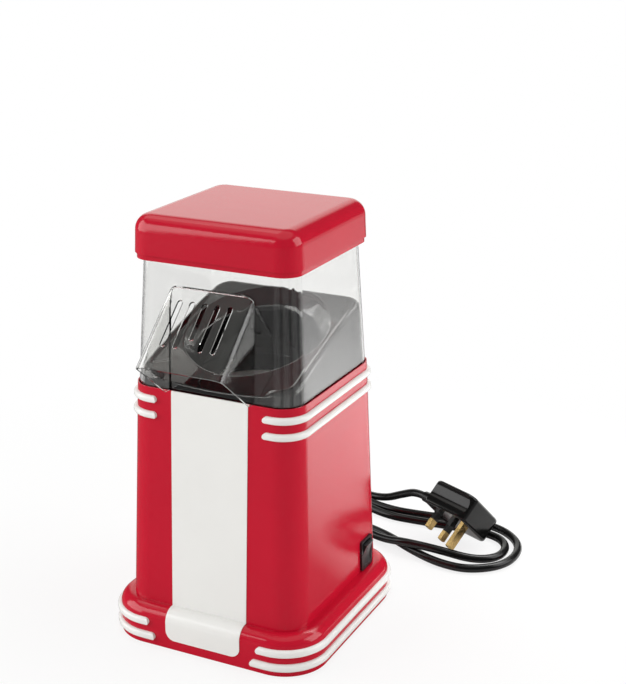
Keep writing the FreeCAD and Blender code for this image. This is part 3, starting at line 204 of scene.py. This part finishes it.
lead_line = bpy.data.curves.new("mains_lead", "CURVE")
lead_line.dimensions = "3D"
lead_line.resolution_u = 10
lead_line.bevel_depth = LEAD_DIAMETER / 2
lead_line.bevel_resolution = 7
lead_line.use_fill_caps = True
lead_spline = lead_line.splines.new("NURBS")
lead_spline.points.add(len(LEAD_ROUTE) - 1)
for point, place in zip(lead_spline.points, LEAD_ROUTE):
    point.co = (*place, 1.0)
lead_spline.order_u = 3
lead_spline.use_endpoint_u = True
mains_lead = bpy.data.objects.new("mains_lead", lead_line)
bpy.context.scene.collection.objects.link(mains_lead)
SHEATH_BLACK = (0.005, 0.005, 0.005)
sheath_pvc = moulded(
    "sheath_pvc", SHEATH_BLACK, (0.15, 0.25), cloud=0.25, ripple=0.3, grain=0.5, bump=0.00004, specular=0.35
)
lead_line.materials.append(sheath_pvc)
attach(mains_lead, "base")
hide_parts("mains_cord")


# Plug, its cable guard and the strain relief: black moulded plastic, a little shinier than the lead.
# The three pins are turned and milled brass, and the two power pins are sleeved half way.
PLUG_BLACK = (0.005, 0.005, 0.005)
plug_shell = moulded(
    "plug_shell", PLUG_BLACK, (0.08, 0.15), cloud=0.2, ripple=0.5, grain=0.2, bump=0.00006, specular=0.35
)
dress(plug_shell, "plug_base", "plug_cover", "plug_pin_sleeves")
dress(sheath_pvc, "plug_cord_guard", "cord_strain_relief", "inner_lead")


def make_worked_metal():
    """Worked metal: handling stains in the colour, fine scratches in the gloss, and their relief."""
    group, enter, leave = effect_group(
        "worked_metal",
        [
            ("Colour", "NodeSocketColor", (0.6, 0.6, 0.6, 1.0)),
            ("Stain", "NodeSocketFloat", 0.2),
            ("Gloss low", "NodeSocketFloat", 0.2),
            ("Gloss high", "NodeSocketFloat", 0.4),
            ("Stretch", "NodeSocketVector", (1.0, 1.0, 0.08)),
        ],
        [("Colour", "NodeSocketColor"), ("Roughness", "NodeSocketFloat"), ("Height", "NodeSocketFloat")],
    )
    place = group.nodes.new("ShaderNodeTexCoord").outputs["Object"]
    drawn = group.nodes.new("ShaderNodeVectorMath")
    drawn.operation = "MULTIPLY"
    group.links.new(place, drawn.inputs[0])
    group.links.new(enter.outputs["Stretch"], drawn.inputs[1])
    stain = spread(group, noise_at(group, place, 45.0, 4.0), 0.0, 1.0)
    scratch = noise_at(group, drawn.outputs[0], 1500.0, 3.0)
    colour = shaded(group, enter.outputs["Colour"], enter.outputs["Stain"], stain)
    group.links.new(colour, leave.inputs["Colour"])
    rough = spread(group, scratch, enter.outputs["Gloss low"], enter.outputs["Gloss high"])
    group.links.new(rough, leave.inputs["Roughness"])
    group.links.new(scratch, leave.inputs["Height"])
    return group


WORKED_METAL = make_worked_metal()


def metal(name, colour, gloss, stain=0.2, stretch=(1.0, 1.0, 0.08), bump=0.00001):
    """Bare or plated metal with a pair of roughness limits and the run of its scratches."""
    material = bpy.data.materials.new(name)
    material.use_nodes = True
    tree = material.node_tree
    shader = tree.nodes["Principled BSDF"]
    shader.inputs["Metallic"].default_value = 1.0
    skin = tree.nodes.new("ShaderNodeGroup")
    skin.node_tree = WORKED_METAL
    skin.inputs["Colour"].default_value = (*colour, 1.0)
    skin.inputs["Stain"].default_value = stain
    skin.inputs["Gloss low"].default_value = gloss[0]
    skin.inputs["Gloss high"].default_value = gloss[1]
    skin.inputs["Stretch"].default_value = stretch
    relief = tree.nodes.new("ShaderNodeBump")
    relief.inputs["Strength"].default_value = 0.6
    relief.inputs["Distance"].default_value = bump
    tree.links.new(skin.outputs["Colour"], shader.inputs["Base Color"])
    tree.links.new(skin.outputs["Roughness"], shader.inputs["Roughness"])
    tree.links.new(skin.outputs["Height"], relief.inputs["Height"])
    tree.links.new(relief.outputs["Normal"], shader.inputs["Normal"])
    return material


PIN_BRASS = (0.72, 0.50, 0.20)
pin_brass = metal("pin_brass", PIN_BRASS, (0.16, 0.30), stain=0.3)
dress(pin_brass, "plug_earth_pin", "plug_power_pins", "switch_tabs")


# Base plate, feet and screws: the plate is black textured plastic with intake slots.
# Four rubber feet are pushed into it and four zinc-plated screws hold it to the tower's posts.
PLATE_BLACK = (0.018, 0.018, 0.019)
plate_plastic = moulded("plate_plastic", PLATE_BLACK, (0.42, 0.58), cloud=0.15, ripple=0.2, grain=1.0)
dress(plate_plastic, "base_plate", "cord_clamp")
FOOT_BLACK = (0.020, 0.020, 0.020)
foot_rubber = moulded("foot_rubber", FOOT_BLACK, (0.55, 0.75), cloud=0.3, ripple=0.3, grain=1.2)
dress(foot_rubber, "rubber_feet")
ZINC = (0.62, 0.62, 0.60)
zinc_plate = metal("zinc_plate", ZINC, (0.22, 0.38), stain=0.15)
dress(zinc_plate, "base_screws", "collar_screws", "housing_screws", "motor_screws")


# Plinth, tower shell and cap: the same glossy red ABS from polished moulds.
# The tower drops into the plinth's roof, and its front is sunk for the white stripe.
CASE_RED = (0.53, 0.006, 0.025)
case_red = moulded("case_red", CASE_RED, (0.10, 0.17), cloud=0.05, ripple=0.6, grain=0.06, bump=0.00010)
dress(case_red, "plinth", "body_shell", "lid")


# White stripe and trim bars: glossy white ABS, clipped into the red shells from inside.
# The stripe runs down the front and over the plinth's shoulder, and the bars wrap both sides.
TRIM_WHITE = (0.82, 0.815, 0.79)
trim_white = moulded("trim_white", TRIM_WHITE, (0.16, 0.24), cloud=0.03, ripple=0.5, grain=0.08)
dress(trim_white, "front_panel")
for level in ("lower", "upper"):
    for side in ("left", "right"):
        dress(trim_white, f"body_trim_{side}_{level}", f"plinth_trim_{side}_{level}")


# Blower: a grey nylon drum on the plate's columns, with a nylon impeller on the motor's shaft.
# The small motor hangs under it, and its rectifier board sits on the end cap.
NYLON_GREY = (0.36, 0.36, 0.35)
NYLON_PALE = (0.74, 0.73, 0.69)
drum_nylon = moulded("drum_nylon", NYLON_GREY, (0.38, 0.52), cloud=0.1, grain=0.6)
pale_nylon = moulded("pale_nylon", NYLON_PALE, (0.35, 0.48), cloud=0.08, grain=0.5)
dress(drum_nylon, "fan_housing")
dress(pale_nylon, "fan_impeller", "terminal_block", "motor_end_cap")
CAN_STEEL = (0.56, 0.57, 0.58)
can_steel = metal("can_steel", CAN_STEEL, (0.26, 0.42), stain=0.15)
dress(can_steel, "motor_can", "motor_shaft", "chamber_shroud")
WINDING_COPPER = (0.56, 0.24, 0.12)
winding_copper = metal("winding_copper", WINDING_COPPER, (0.28, 0.46), stain=0.35, stretch=(0.1, 0.1, 1.0))
dress(winding_copper, "motor_armature")
MAGNET_GREY = (0.055, 0.055, 0.06)
magnet_ferrite = moulded("magnet_ferrite", MAGNET_GREY, (0.5, 0.7), cloud=0.3, grain=1.2)
dress(magnet_ferrite, "motor_magnets", "rectifier_diodes")
BOARD_GREEN = (0.02, 0.13, 0.05)
board_lacquer = moulded("board_lacquer", BOARD_GREEN, (0.28, 0.4), cloud=0.3, grain=0.3)
dress(board_lacquer, "rectifier_board")
WIRE_RED = (0.34, 0.03, 0.025)
wire_sleeve = moulded("wire_sleeve", WIRE_RED, (0.3, 0.42), cloud=0.1, grain=0.4)
dress(wire_sleeve, "inner_wires")


# Heater and popping chamber: resistance wire on a mica cross, under a pressed aluminium cup.
# The cup is drawn and then turned smooth, which leaves fine rings, and heat has dulled its metal.
MICA_TAN = (0.46, 0.38, 0.25)
mica = moulded("mica", MICA_TAN, (0.3, 0.6), cloud=0.45, ripple=0.8, grain=1.0)
dress(mica, "heater_boards")
HEATER_WIRE = (0.30, 0.28, 0.27)
heater_wire = metal("heater_wire", HEATER_WIRE, (0.34, 0.55), stain=0.4)
dress(heater_wire, "heater_coil", "thermostat", "thermal_fuse")
CUP_ALUMINIUM = (0.78, 0.78, 0.77)
CUP_BARE_METAL = 0.6
cup_aluminium = metal("cup_aluminium", CUP_ALUMINIUM, (0.30, 0.48), stain=0.25, stretch=(0.06, 0.06, 1.0))
cup_aluminium.node_tree.nodes["Principled BSDF"].inputs["Metallic"].default_value = CUP_BARE_METAL
dress(cup_aluminium, "popping_chamber")


# Collar: one deep moulding in piano-black plastic, screwed up from inside the tower.
# Its sunk deck slopes to the front and spills over a bowed edge between two round-backed rims,
# and a funnel leads down through it to the popping chamber.
COLLAR_BLACK = (0.0045, 0.0042, 0.0042)
COLLAR_COAT = 0.7
TOWER_BACK = 0.010825
FUNNEL_AXIS_Y = 0.004
COLLAR_FOOT = 0.197
COLLAR_FOOT_SIZE = (0.1317, 0.1301, 0.01605)
COLLAR_HEAD = 0.2525
COLLAR_HEAD_SIZE = (0.12594, 0.12306, 0.01477)
FLANGE_SIZE = (0.1356, 0.1340, 0.0180)
FLANGE_LOW = 0.194
RIDGE_MIDDLE = 0.2325
RIDGE_SLOPE = 0.32505
DECK_SINK = 0.002
DECK_SPILL = 0.0048
DECK_SPILL_START = -0.030
DECK_SPILL_RUN = 0.034
DECK_SPILL_REACH = 0.058
RIM_WIDE = 0.0042
RIM_STEP = 0.0034
RIM_BAND = 0.0078
RIM_BAND_SHARE = 0.97
RIM_ROUND = 0.0062
RIM_FADE_BACK = (0.020, 0.052)
EDGE_ROUND = 0.0010
EDGE_OPEN_ACROSS = (0.041, 0.055)
EDGE_OPEN_FRONT = (0.030, 0.052)
FUNNEL_RADIUS = 0.0545
FUNNEL_THROAT = 0.0455
FUNNEL_DEEP = 0.0095
FUNNEL_ROUND = 0.0012
THROAT_STOP = 0.0012
THROAT_TURN = (0.00015, 0.0004)
THROAT_EASE = 0.0006
SKIRT_RADIUS = 0.0448
SKIRT_LOW = 0.1832
COLLAR_WALL = 0.0020
COLLAR_SIDES = 400
THROAT_ROWS = 5
CONE_ROWS = 6
LIP_ROWS = 8
DECK_ROWS = 12
RIM_ROWS = 22
WALL_ROWS = 6
SETTLE_ROUNDS = 4
REACH_LIMIT = 0.12
REACH_HALVINGS = 32
MERGE_WITHIN = 0.000002
SMOOTH_BELOW = 40.0


def eased(value, low, high):
    """Smooth step of a value from 0 at low to 1 at high."""
    share = min(max((value - low) / (high - low), 0.0), 1.0)
    return share * share * (3.0 - 2.0 * share)


def inside_depth(x, y, size):
    """How deep a point lies inside a rounded rectangle of (width, depth, corner)."""
    across = abs(x) - (size[0] / 2 - size[2])
    along_depth = abs(y) - (size[1] / 2 - size[2])
    beyond = math.hypot(max(across, 0.0), max(along_depth, 0.0))
    return size[2] - beyond - min(max(across, along_depth), 0.0)


def reach_to(angle, size):
    """Distance from the funnel's axis to a rounded rectangle at an angle."""
    low = 0.0
    high = REACH_LIMIT
    for _ in range(REACH_HALVINGS):
        middle = (low + high) / 2
        x = middle * math.cos(angle)
        y = FUNNEL_AXIS_Y + middle * math.sin(angle)
        if inside_depth(x, y, size) > 0.0:
            low = middle
        else:
            high = middle
    return low


def inset(size, depth):
    """Rounded rectangle that runs inside another at an even depth."""
    return [size[0] - 2 * depth, size[1] - 2 * depth, size[2] - depth]


def collar_size_at(height):
    """Outline of the collar's tapered wall at a height."""
    share = (height - COLLAR_FOOT) / (COLLAR_HEAD - COLLAR_FOOT)
    return [a + share * (b - a) for a, b in zip(COLLAR_FOOT_SIZE, COLLAR_HEAD_SIZE)]


def deck_height(x, y):
    """Sunk deck, which spills down over its front edge, most in the middle."""
    run = max((DECK_SPILL_START - y) / DECK_SPILL_RUN, 0.0)
    spill = DECK_SPILL * run * run * (1.0 - (x / DECK_SPILL_REACH) ** 2)
    return RIDGE_MIDDLE + RIDGE_SLOPE * y - DECK_SINK - max(spill, 0.0)


def collar_height(x, y, size):
    """Deck and rims with their outer edges rounded off."""
    depth = max(inside_depth(x, y, size), 0.0)
    open_front = (1.0 - eased(abs(x), *EDGE_OPEN_ACROSS)) * eased(-y, *EDGE_OPEN_FRONT)
    open_back = eased(y, *RIM_FADE_BACK)
    raised = (1.0 - eased(depth, RIM_WIDE, RIM_WIDE + RIM_STEP)) * (1.0 - max(open_front, open_back))
    deck = deck_height(x, y)
    ridge = RIDGE_MIDDLE + RIDGE_SLOPE * y
    height = deck + raised * (ridge - deck)
    rounding = RIM_ROUND + open_front * (EDGE_ROUND - RIM_ROUND)
    if depth < rounding:
        height -= rounding - math.sqrt(rounding**2 - (rounding - depth) ** 2)
    return height


def collar_profile(angle):
    """Points of the collar's outer skin at an angle, from the skirt's foot to the flange's."""
    way = (math.cos(angle), math.sin(angle))

    def at(distance):
        return distance * way[0], FUNNEL_AXIS_Y + distance * way[1]

    lip = deck_height(*at(FUNNEL_RADIUS))
    throat_top = deck_height(*at(FUNNEL_THROAT)) - FUNNEL_DEEP
    steep = (lip - throat_top) / (FUNNEL_RADIUS - FUNNEL_THROAT)
    points = [(SKIRT_RADIUS, SKIRT_LOW), (SKIRT_RADIUS, COLLAR_FOOT), (FUNNEL_THROAT, COLLAR_FOOT)]
    throat_high = throat_top - THROAT_STOP
    for step in range(1, THROAT_ROWS + 1):
        points.append((FUNNEL_THROAT, COLLAR_FOOT + (throat_high - COLLAR_FOOT) * step / THROAT_ROWS))
    points.append((FUNNEL_THROAT + THROAT_TURN[0], throat_top - THROAT_TURN[1]))
    cone_start = FUNNEL_THROAT + THROAT_EASE
    cone_run = FUNNEL_RADIUS - FUNNEL_ROUND - FUNNEL_THROAT - THROAT_EASE
    for step in range(CONE_ROWS + 1):
        distance = cone_start + cone_run * step / CONE_ROWS
        points.append((distance, throat_top + steep * (distance - FUNNEL_THROAT)))
    outline = collar_size_at(RIDGE_MIDDLE)
    edge = reach_to(angle, outline)
    for _ in range(SETTLE_ROUNDS):
        outline = collar_size_at(collar_height(*at(edge), outline))
        edge = reach_to(angle, outline)
    for step in range(1, LIP_ROWS + 1):
        distance = FUNNEL_RADIUS - FUNNEL_ROUND + 2 * FUNNEL_ROUND * step / LIP_ROWS
        dip = steep * (FUNNEL_RADIUS + FUNNEL_ROUND - distance) ** 2 / (4 * FUNNEL_ROUND)
        points.append((distance, collar_height(*at(distance), outline) - dip))
    near = FUNNEL_RADIUS + FUNNEL_ROUND
    band = min(RIM_BAND, RIM_BAND_SHARE * inside_depth(*at(near), outline))
    far = reach_to(angle, inset(outline, band))
    for step in range(1, DECK_ROWS + 1):
        distance = near + (far - near) * step / DECK_ROWS
        points.append((distance, collar_height(*at(distance), outline)))
    for step in range(1, RIM_ROWS + 1):
        depth = band * (1.0 - math.sin(math.pi / 2 * step / RIM_ROWS))
        distance = reach_to(angle, inset(outline, depth))
        points.append((distance, collar_height(*at(distance), outline)))
    top = points[-1][1]
    for step in range(1, WALL_ROWS + 1):
        height = top + (COLLAR_FOOT - top) * step / WALL_ROWS
        points.append((reach_to(angle, collar_size_at(height)), height))
    flange = reach_to(angle, FLANGE_SIZE)
    points += [(flange, COLLAR_FOOT), (flange, FLANGE_LOW)]
    return [(*at(distance), height) for distance, height in points]


collar_rings = [collar_profile(2 * math.pi * side / COLLAR_SIDES) for side in range(COLLAR_SIDES)]
collar_rows = len(collar_rings[0])
bpy.ops.object.select_all(action="DESELECT")
bpy.ops.mesh.primitive_grid_add(x_subdivisions=COLLAR_SIDES, y_subdivisions=collar_rows - 1, size=2.0)
collar = bpy.context.object
collar.name = "collar"
for vertex in collar.data.vertices:
    side = round((vertex.co.x + 1.0) / 2.0 * COLLAR_SIDES) % COLLAR_SIDES
    row = round((vertex.co.y + 1.0) / 2.0 * (collar_rows - 1))
    x, y, z = collar_rings[side][row]
    vertex.co = (x, y + TOWER_BACK, z)
bpy.ops.object.mode_set(mode="EDIT")
bpy.ops.mesh.select_all(action="SELECT")
bpy.ops.mesh.remove_doubles(threshold=MERGE_WITHIN)
bpy.ops.mesh.normals_make_consistent(inside=False)
bpy.ops.object.mode_set(mode="OBJECT")
collar_shell = collar.modifiers.new("wall", "SOLIDIFY")
collar_shell.thickness = COLLAR_WALL
collar_shell.offset = -1.0
bpy.ops.object.modifier_apply(modifier=collar_shell.name)
bpy.ops.object.shade_smooth_by_angle(angle=math.radians(SMOOTH_BELOW))
collar_black = moulded(
    "collar_black", COLLAR_BLACK, (0.035, 0.055), cloud=0.1, ripple=0.1, grain=0.02, bump=0.00004
)
collar_black.node_tree.nodes["Principled BSDF"].inputs["Coat Weight"].default_value = COLLAR_COAT
collar.data.materials.append(collar_black)
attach(collar, "base")
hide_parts("top_collar")


# Rocker switch: a black nylon case snapped into the tower's right side.
# The satin rocker, of the same nylon, tips on its own two pins in holes through the case.
SWITCH_BLACK = (0.013, 0.013, 0.014)
switch_nylon = moulded("switch_nylon", SWITCH_BLACK, (0.26, 0.38), cloud=0.15, grain=0.6)
dress(switch_nylon, "switch_housing", "switch_rocker")


# Hopper: one clear styrene moulding that drops over the collar, with a slotted visor at its front.
# Its base colour is painted darker where the surface is seen edge on. This painted shade draws its edges
# dark.
# Lamps shine through it, so the shader lets shadow rays pass.
CLEAR_TINT = (0.957, 0.957, 0.948, 1.0)
CLEAR_PAINTED_EDGE_SHADE = (0.18, 0.18, 0.177, 1.0)
CLEAR_PAINTED_SHADE_SLANT = (0.62, 0.92)
CLEAR_GLOSS = (0.0, 0.03)
CLEAR_RIPPLE = 0.6
CLEAR_GRAIN = 0.02
CLEAR_BUMP = 0.00008


def in_range(tree, value, low, high, at_low, at_high):
    """Number that runs from at_low to at_high while value runs from low to high."""
    node = tree.nodes.new("ShaderNodeMapRange")
    for label, number in (("From Min", low), ("From Max", high), ("To Min", at_low), ("To Max", at_high)):
        node.inputs[label].default_value = number
    tree.links.new(value, node.inputs["Value"])
    return node.outputs["Result"]


clear_styrene = bpy.data.materials.new("clear_styrene")
clear_styrene.use_nodes = True
clear_tree = clear_styrene.node_tree
clear_shader = clear_tree.nodes["Principled BSDF"]
clear_slant = clear_tree.nodes.new("ShaderNodeLayerWeight")
clear_slant.inputs["Blend"].default_value = 0.5
# Painted shade: the base colour runs from the clear tint to dark grey as the surface turns edge on.
clear_tint_and_painted_shade = clear_tree.nodes.new("ShaderNodeMix")
clear_tint_and_painted_shade.data_type = "RGBA"
clear_tint_and_painted_shade.inputs["A"].default_value = CLEAR_TINT
clear_tint_and_painted_shade.inputs["B"].default_value = CLEAR_PAINTED_EDGE_SHADE
painted_edge_shade = in_range(clear_tree, clear_slant.outputs["Facing"], *CLEAR_PAINTED_SHADE_SLANT, 0.0, 1.0)
clear_tree.links.new(painted_edge_shade, clear_tint_and_painted_shade.inputs["Factor"])
clear_tree.links.new(clear_tint_and_painted_shade.outputs["Result"], clear_shader.inputs["Base Color"])
clear_shader.inputs["IOR"].default_value = PLASTIC_IOR
clear_shader.inputs["Transmission Weight"].default_value = 1.0
clear_skin = clear_tree.nodes.new("ShaderNodeGroup")
clear_skin.node_tree = MOULDED_SKIN
clear_skin.inputs["Gloss low"].default_value = CLEAR_GLOSS[0]
clear_skin.inputs["Gloss high"].default_value = CLEAR_GLOSS[1]
clear_skin.inputs["Ripple"].default_value = CLEAR_RIPPLE
clear_skin.inputs["Grain"].default_value = CLEAR_GRAIN
clear_relief = clear_tree.nodes.new("ShaderNodeBump")
clear_relief.inputs["Strength"].default_value = 1.0
clear_relief.inputs["Distance"].default_value = CLEAR_BUMP
clear_tree.links.new(clear_skin.outputs["Roughness"], clear_shader.inputs["Roughness"])
clear_tree.links.new(clear_skin.outputs["Height"], clear_relief.inputs["Height"])
clear_tree.links.new(clear_relief.outputs["Normal"], clear_shader.inputs["Normal"])
lamp_path = clear_tree.nodes.new("ShaderNodeLightPath")
let_through = clear_tree.nodes.new("ShaderNodeBsdfTransparent")
clear_mix = clear_tree.nodes.new("ShaderNodeMixShader")
clear_tree.links.new(lamp_path.outputs["Is Shadow Ray"], clear_mix.inputs[0])
clear_tree.links.new(clear_shader.outputs[0], clear_mix.inputs[1])
clear_tree.links.new(let_through.outputs[0], clear_mix.inputs[2])
clear_tree.links.new(clear_mix.outputs[0], clear_tree.nodes["Material Output"].inputs["Surface"])
dress(clear_styrene, "hopper")


# Studio floor: wide and pale, running out of sight, and white to the lens with a light shadow.
# Gloss sees it bright only behind and on the right, and the clear plastic sees it bright behind and
# at eight even bearings, with darker flags between that draw the hopper's edges.
FLOOR_SIZE = 40.0
FLOOR_WHITE = (0.80, 0.80, 0.79, 1.0)
FLOOR_FLAG = (0.16, 0.16, 0.16, 1.0)
FLOOR_SHOWN_WHITE = 0.80
FLOOR_WHITE_FROM = 0.15
FLOOR_WHITE_TO = 0.55
FLAG_GLOW = 0.45
VIEW_WAY = (-0.441, 0.898, 0.0)
VIEW_EDGE = (0.90, 0.966)
RIGHT_WAY = (0.545, 0.839, 0.0)
RIGHT_EDGE = (0.93, 0.985)
SECTOR_EDGE = (0.05, 0.45)


def along(tree, direction, way):
    """How far a direction points along a given way."""
    node = tree.nodes.new("ShaderNodeVectorMath")
    node.operation = "DOT_PRODUCT"
    tree.links.new(direction, node.inputs[0])
    node.inputs[1].default_value = way
    return node.outputs["Value"]


def chosen(tree, factor, when_off, when_on):
    """Number that changes from when_off to when_on with a factor between 0 and 1."""
    node = tree.nodes.new("ShaderNodeMix")
    for label, value in (("A", when_off), ("B", when_on)):
        if isinstance(value, (int, float)):
            node.inputs[label].default_value = value
        else:
            tree.links.new(value, node.inputs[label])
    tree.links.new(factor, node.inputs["Factor"])
    return node.outputs["Result"]


def in_sectors(tree, direction):
    """1 near each of eight even bearings and 0 between them, for a level direction of length 1."""
    split = tree.nodes.new("ShaderNodeSeparateXYZ")
    tree.links.new(direction, split.inputs[0])
    square = worked_out(tree, "MULTIPLY", split.outputs["X"], split.outputs["X"])
    fourth = worked_out(tree, "MULTIPLY", square, square)
    turned = in_range(tree, worked_out(tree, "SUBTRACT", square, fourth), 0.0, 0.25, 1.0, -1.0)
    return in_range(tree, worked_out(tree, "MULTIPLY", turned, turned), *SECTOR_EDGE, 0.0, 1.0)


bpy.ops.object.select_all(action="DESELECT")
bpy.ops.mesh.primitive_plane_add(size=FLOOR_SIZE)
floor = bpy.context.object
floor.name = "studio_floor"
floor_paint = bpy.data.materials.new("floor_paint")
floor_paint.use_nodes = True
floor_tree = floor_paint.node_tree
floor_shader = floor_tree.nodes["Principled BSDF"]
floor_shader.inputs["Roughness"].default_value = 0.9
floor_shader.inputs["Specular IOR Level"].default_value = 0.1
floor_place = floor_tree.nodes.new("ShaderNodeTexCoord").outputs["Object"]
floor_far = floor_tree.nodes.new("ShaderNodeVectorMath")
floor_far.operation = "LENGTH"
floor_tree.links.new(floor_place, floor_far.inputs[0])
floor_way = floor_tree.nodes.new("ShaderNodeVectorMath")
floor_way.operation = "NORMALIZE"
floor_tree.links.new(floor_place, floor_way.inputs[0])
floor_path = floor_tree.nodes.new("ShaderNodeLightPath")
floor_behind = in_range(floor_tree, along(floor_tree, floor_way.outputs[0], VIEW_WAY), *VIEW_EDGE, 0.0, 1.0)
floor_right = in_range(floor_tree, along(floor_tree, floor_way.outputs[0], RIGHT_WAY), *RIGHT_EDGE, 0.0, 1.0)
floor_bright = worked_out(floor_tree, "MAXIMUM", floor_behind, floor_right)
floor_mirrored = chosen(floor_tree, floor_path.outputs["Is Glossy Ray"], 1.0, floor_bright)
floor_colour = floor_tree.nodes.new("ShaderNodeMix")
floor_colour.data_type = "RGBA"
floor_colour.inputs["A"].default_value = FLOOR_FLAG
floor_colour.inputs["B"].default_value = FLOOR_WHITE
floor_tree.links.new(floor_mirrored, floor_colour.inputs["Factor"])
floor_tree.links.new(floor_colour.outputs["Result"], floor_shader.inputs["Base Color"])
floor_glow = floor_tree.nodes.new("ShaderNodeEmission")
floor_clear = worked_out(floor_tree, "MAXIMUM", floor_behind, in_sectors(floor_tree, floor_way.outputs[0]))
floor_glow_through = in_range(floor_tree, floor_clear, 0.0, 1.0, FLAG_GLOW, 1.0)
floor_glow_strength = chosen(floor_tree, floor_path.outputs["Is Transmission Ray"], 1.0, floor_glow_through)
floor_tree.links.new(floor_glow_strength, floor_glow.inputs["Strength"])
floor_mix = floor_tree.nodes.new("ShaderNodeMixShader")
floor_seen = worked_out(
    floor_tree, "MAXIMUM", floor_path.outputs["Is Camera Ray"], floor_path.outputs["Is Transmission Ray"]
)
floor_white = in_range(
    floor_tree, floor_far.outputs["Value"], FLOOR_WHITE_FROM, FLOOR_WHITE_TO, FLOOR_SHOWN_WHITE, 1.0
)
floor_tree.links.new(worked_out(floor_tree, "MULTIPLY", floor_seen, floor_white), floor_mix.inputs[0])
floor_tree.links.new(floor_shader.outputs[0], floor_mix.inputs[1])
floor_tree.links.new(floor_glow.outputs[0], floor_mix.inputs[2])
floor_tree.links.new(floor_mix.outputs[0], floor_tree.nodes["Material Output"].inputs["Surface"])
floor.data.materials.append(floor_paint)


# Room: an even pale light for matt surfaces, white to the lens.
# Gloss sees a white panel low behind, a paler ceiling and dim walls, and the clear plastic sees
# the same bright bearings as on the floor.
ROOM_LIGHT = 0.67
ROOM_PANEL = 1.15
ROOM_WALLS = 0.06
PANEL_TOP = (0.46, 0.62)
CEILING_EDGE = (0.79, 0.86)
CEILING_SHARE = 0.6
ROOM_COLOUR = (1.0, 1.0, 0.96, 1.0)
room = bpy.data.worlds.new("studio_room")
bpy.context.scene.world = room
room.use_nodes = True
room_tree = room.node_tree
room_way = room_tree.nodes.new("ShaderNodeTexCoord").outputs["Generated"]
room_level = room_tree.nodes.new("ShaderNodeVectorMath")
room_level.operation = "MULTIPLY"
room_level.inputs[1].default_value = (1.0, 1.0, 0.0)
room_tree.links.new(room_way, room_level.inputs[0])
room_bearing = room_tree.nodes.new("ShaderNodeVectorMath")
room_bearing.operation = "NORMALIZE"
room_tree.links.new(room_level.outputs[0], room_bearing.inputs[0])
room_rise = along(room_tree, room_way, (0.0, 0.0, 1.0))
room_facing = in_range(room_tree, along(room_tree, room_bearing.outputs[0], VIEW_WAY), *VIEW_EDGE, 0.0, 1.0)
room_low = in_range(room_tree, room_rise, *PANEL_TOP, 1.0, 0.0)
room_top = in_range(room_tree, room_rise, *CEILING_EDGE, 0.0, CEILING_SHARE)
room_white = worked_out(room_tree, "MULTIPLY", room_facing, room_low)
room_panel = in_range(
    room_tree, worked_out(room_tree, "MAXIMUM", room_white, room_top), 0.0, 1.0, ROOM_WALLS, ROOM_PANEL
)
room_clear = worked_out(room_tree, "MAXIMUM", room_facing, in_sectors(room_tree, room_bearing.outputs[0]))
room_through = in_range(
    room_tree, worked_out(room_tree, "MULTIPLY", room_clear, room_low), 0.0, 1.0, FLAG_GLOW, ROOM_PANEL
)
room_path = room_tree.nodes.new("ShaderNodeLightPath")
room_mirrored = worked_out(
    room_tree, "MAXIMUM", room_path.outputs["Is Glossy Ray"], room_path.outputs["Is Transmission Ray"]
)
room_strength = chosen(room_tree, room_mirrored, ROOM_LIGHT, room_panel)
room_strength = chosen(room_tree, room_path.outputs["Is Transmission Ray"], room_strength, room_through)
room_strength = chosen(room_tree, room_path.outputs["Is Camera Ray"], room_strength, 1.0)
room_tree.links.new(room_strength, room_tree.nodes["Background"].inputs["Strength"])
room_tint = room_tree.nodes.new("ShaderNodeMix")
room_tint.data_type = "RGBA"
room_tint.inputs["A"].default_value = (1.0, 1.0, 1.0, 1.0)
room_tint.inputs["B"].default_value = ROOM_COLOUR
room_tree.links.new(room_mirrored, room_tint.inputs["Factor"])
room_tree.links.new(room_tint.outputs["Result"], room_tree.nodes["Background"].inputs["Color"])


# Lamps: large soft boxes on the left and on the right, one level box high on the left behind, which
# the front of the sloped deck mirrors, and one that shines straight down on the floor behind.
LAMP_POWER = 4.0
MACHINE_MIDDLE = (0.0, 0.0, 0.15)


def soft_box(name, place, aim, width, height, radiance, colour=(1.0, 1.0, 1.0), spread_angle=180.0):
    """Rectangular lamp that shines from place towards aim with an even face."""
    bpy.ops.object.select_all(action="DESELECT")
    turn = (Vector(aim) - Vector(place)).to_track_quat("-Z", "Y").to_euler()
    bpy.ops.object.light_add(type="AREA", location=place, rotation=turn)
    lamp = bpy.context.object
    lamp.name = name
    lamp.data.shape = "RECTANGLE"
    lamp.data.size = width
    lamp.data.size_y = height
    lamp.data.energy = radiance * LAMP_POWER * width * height
    lamp.data.color = colour
    lamp.data.spread = math.radians(spread_angle)


soft_box("box_left", (-1.76, -1.1, 0.95), MACHINE_MIDDLE, 2.2, 1.8, 2.15)
soft_box("box_right", (1.85, 0.65, 1.1), MACHINE_MIDDLE, 1.6, 1.6, 2.1)
soft_box("box_deck", (-0.60, 0.263, 1.08), (-0.60, 0.263, 0.0), 0.7, 0.5, 0.76, (1.0, 0.97, 0.93))
soft_box("box_floor", (0.32, 0.56, 0.6), (0.32, 0.56, 0.0), 0.5, 0.5, 2.5, spread_angle=100.0)
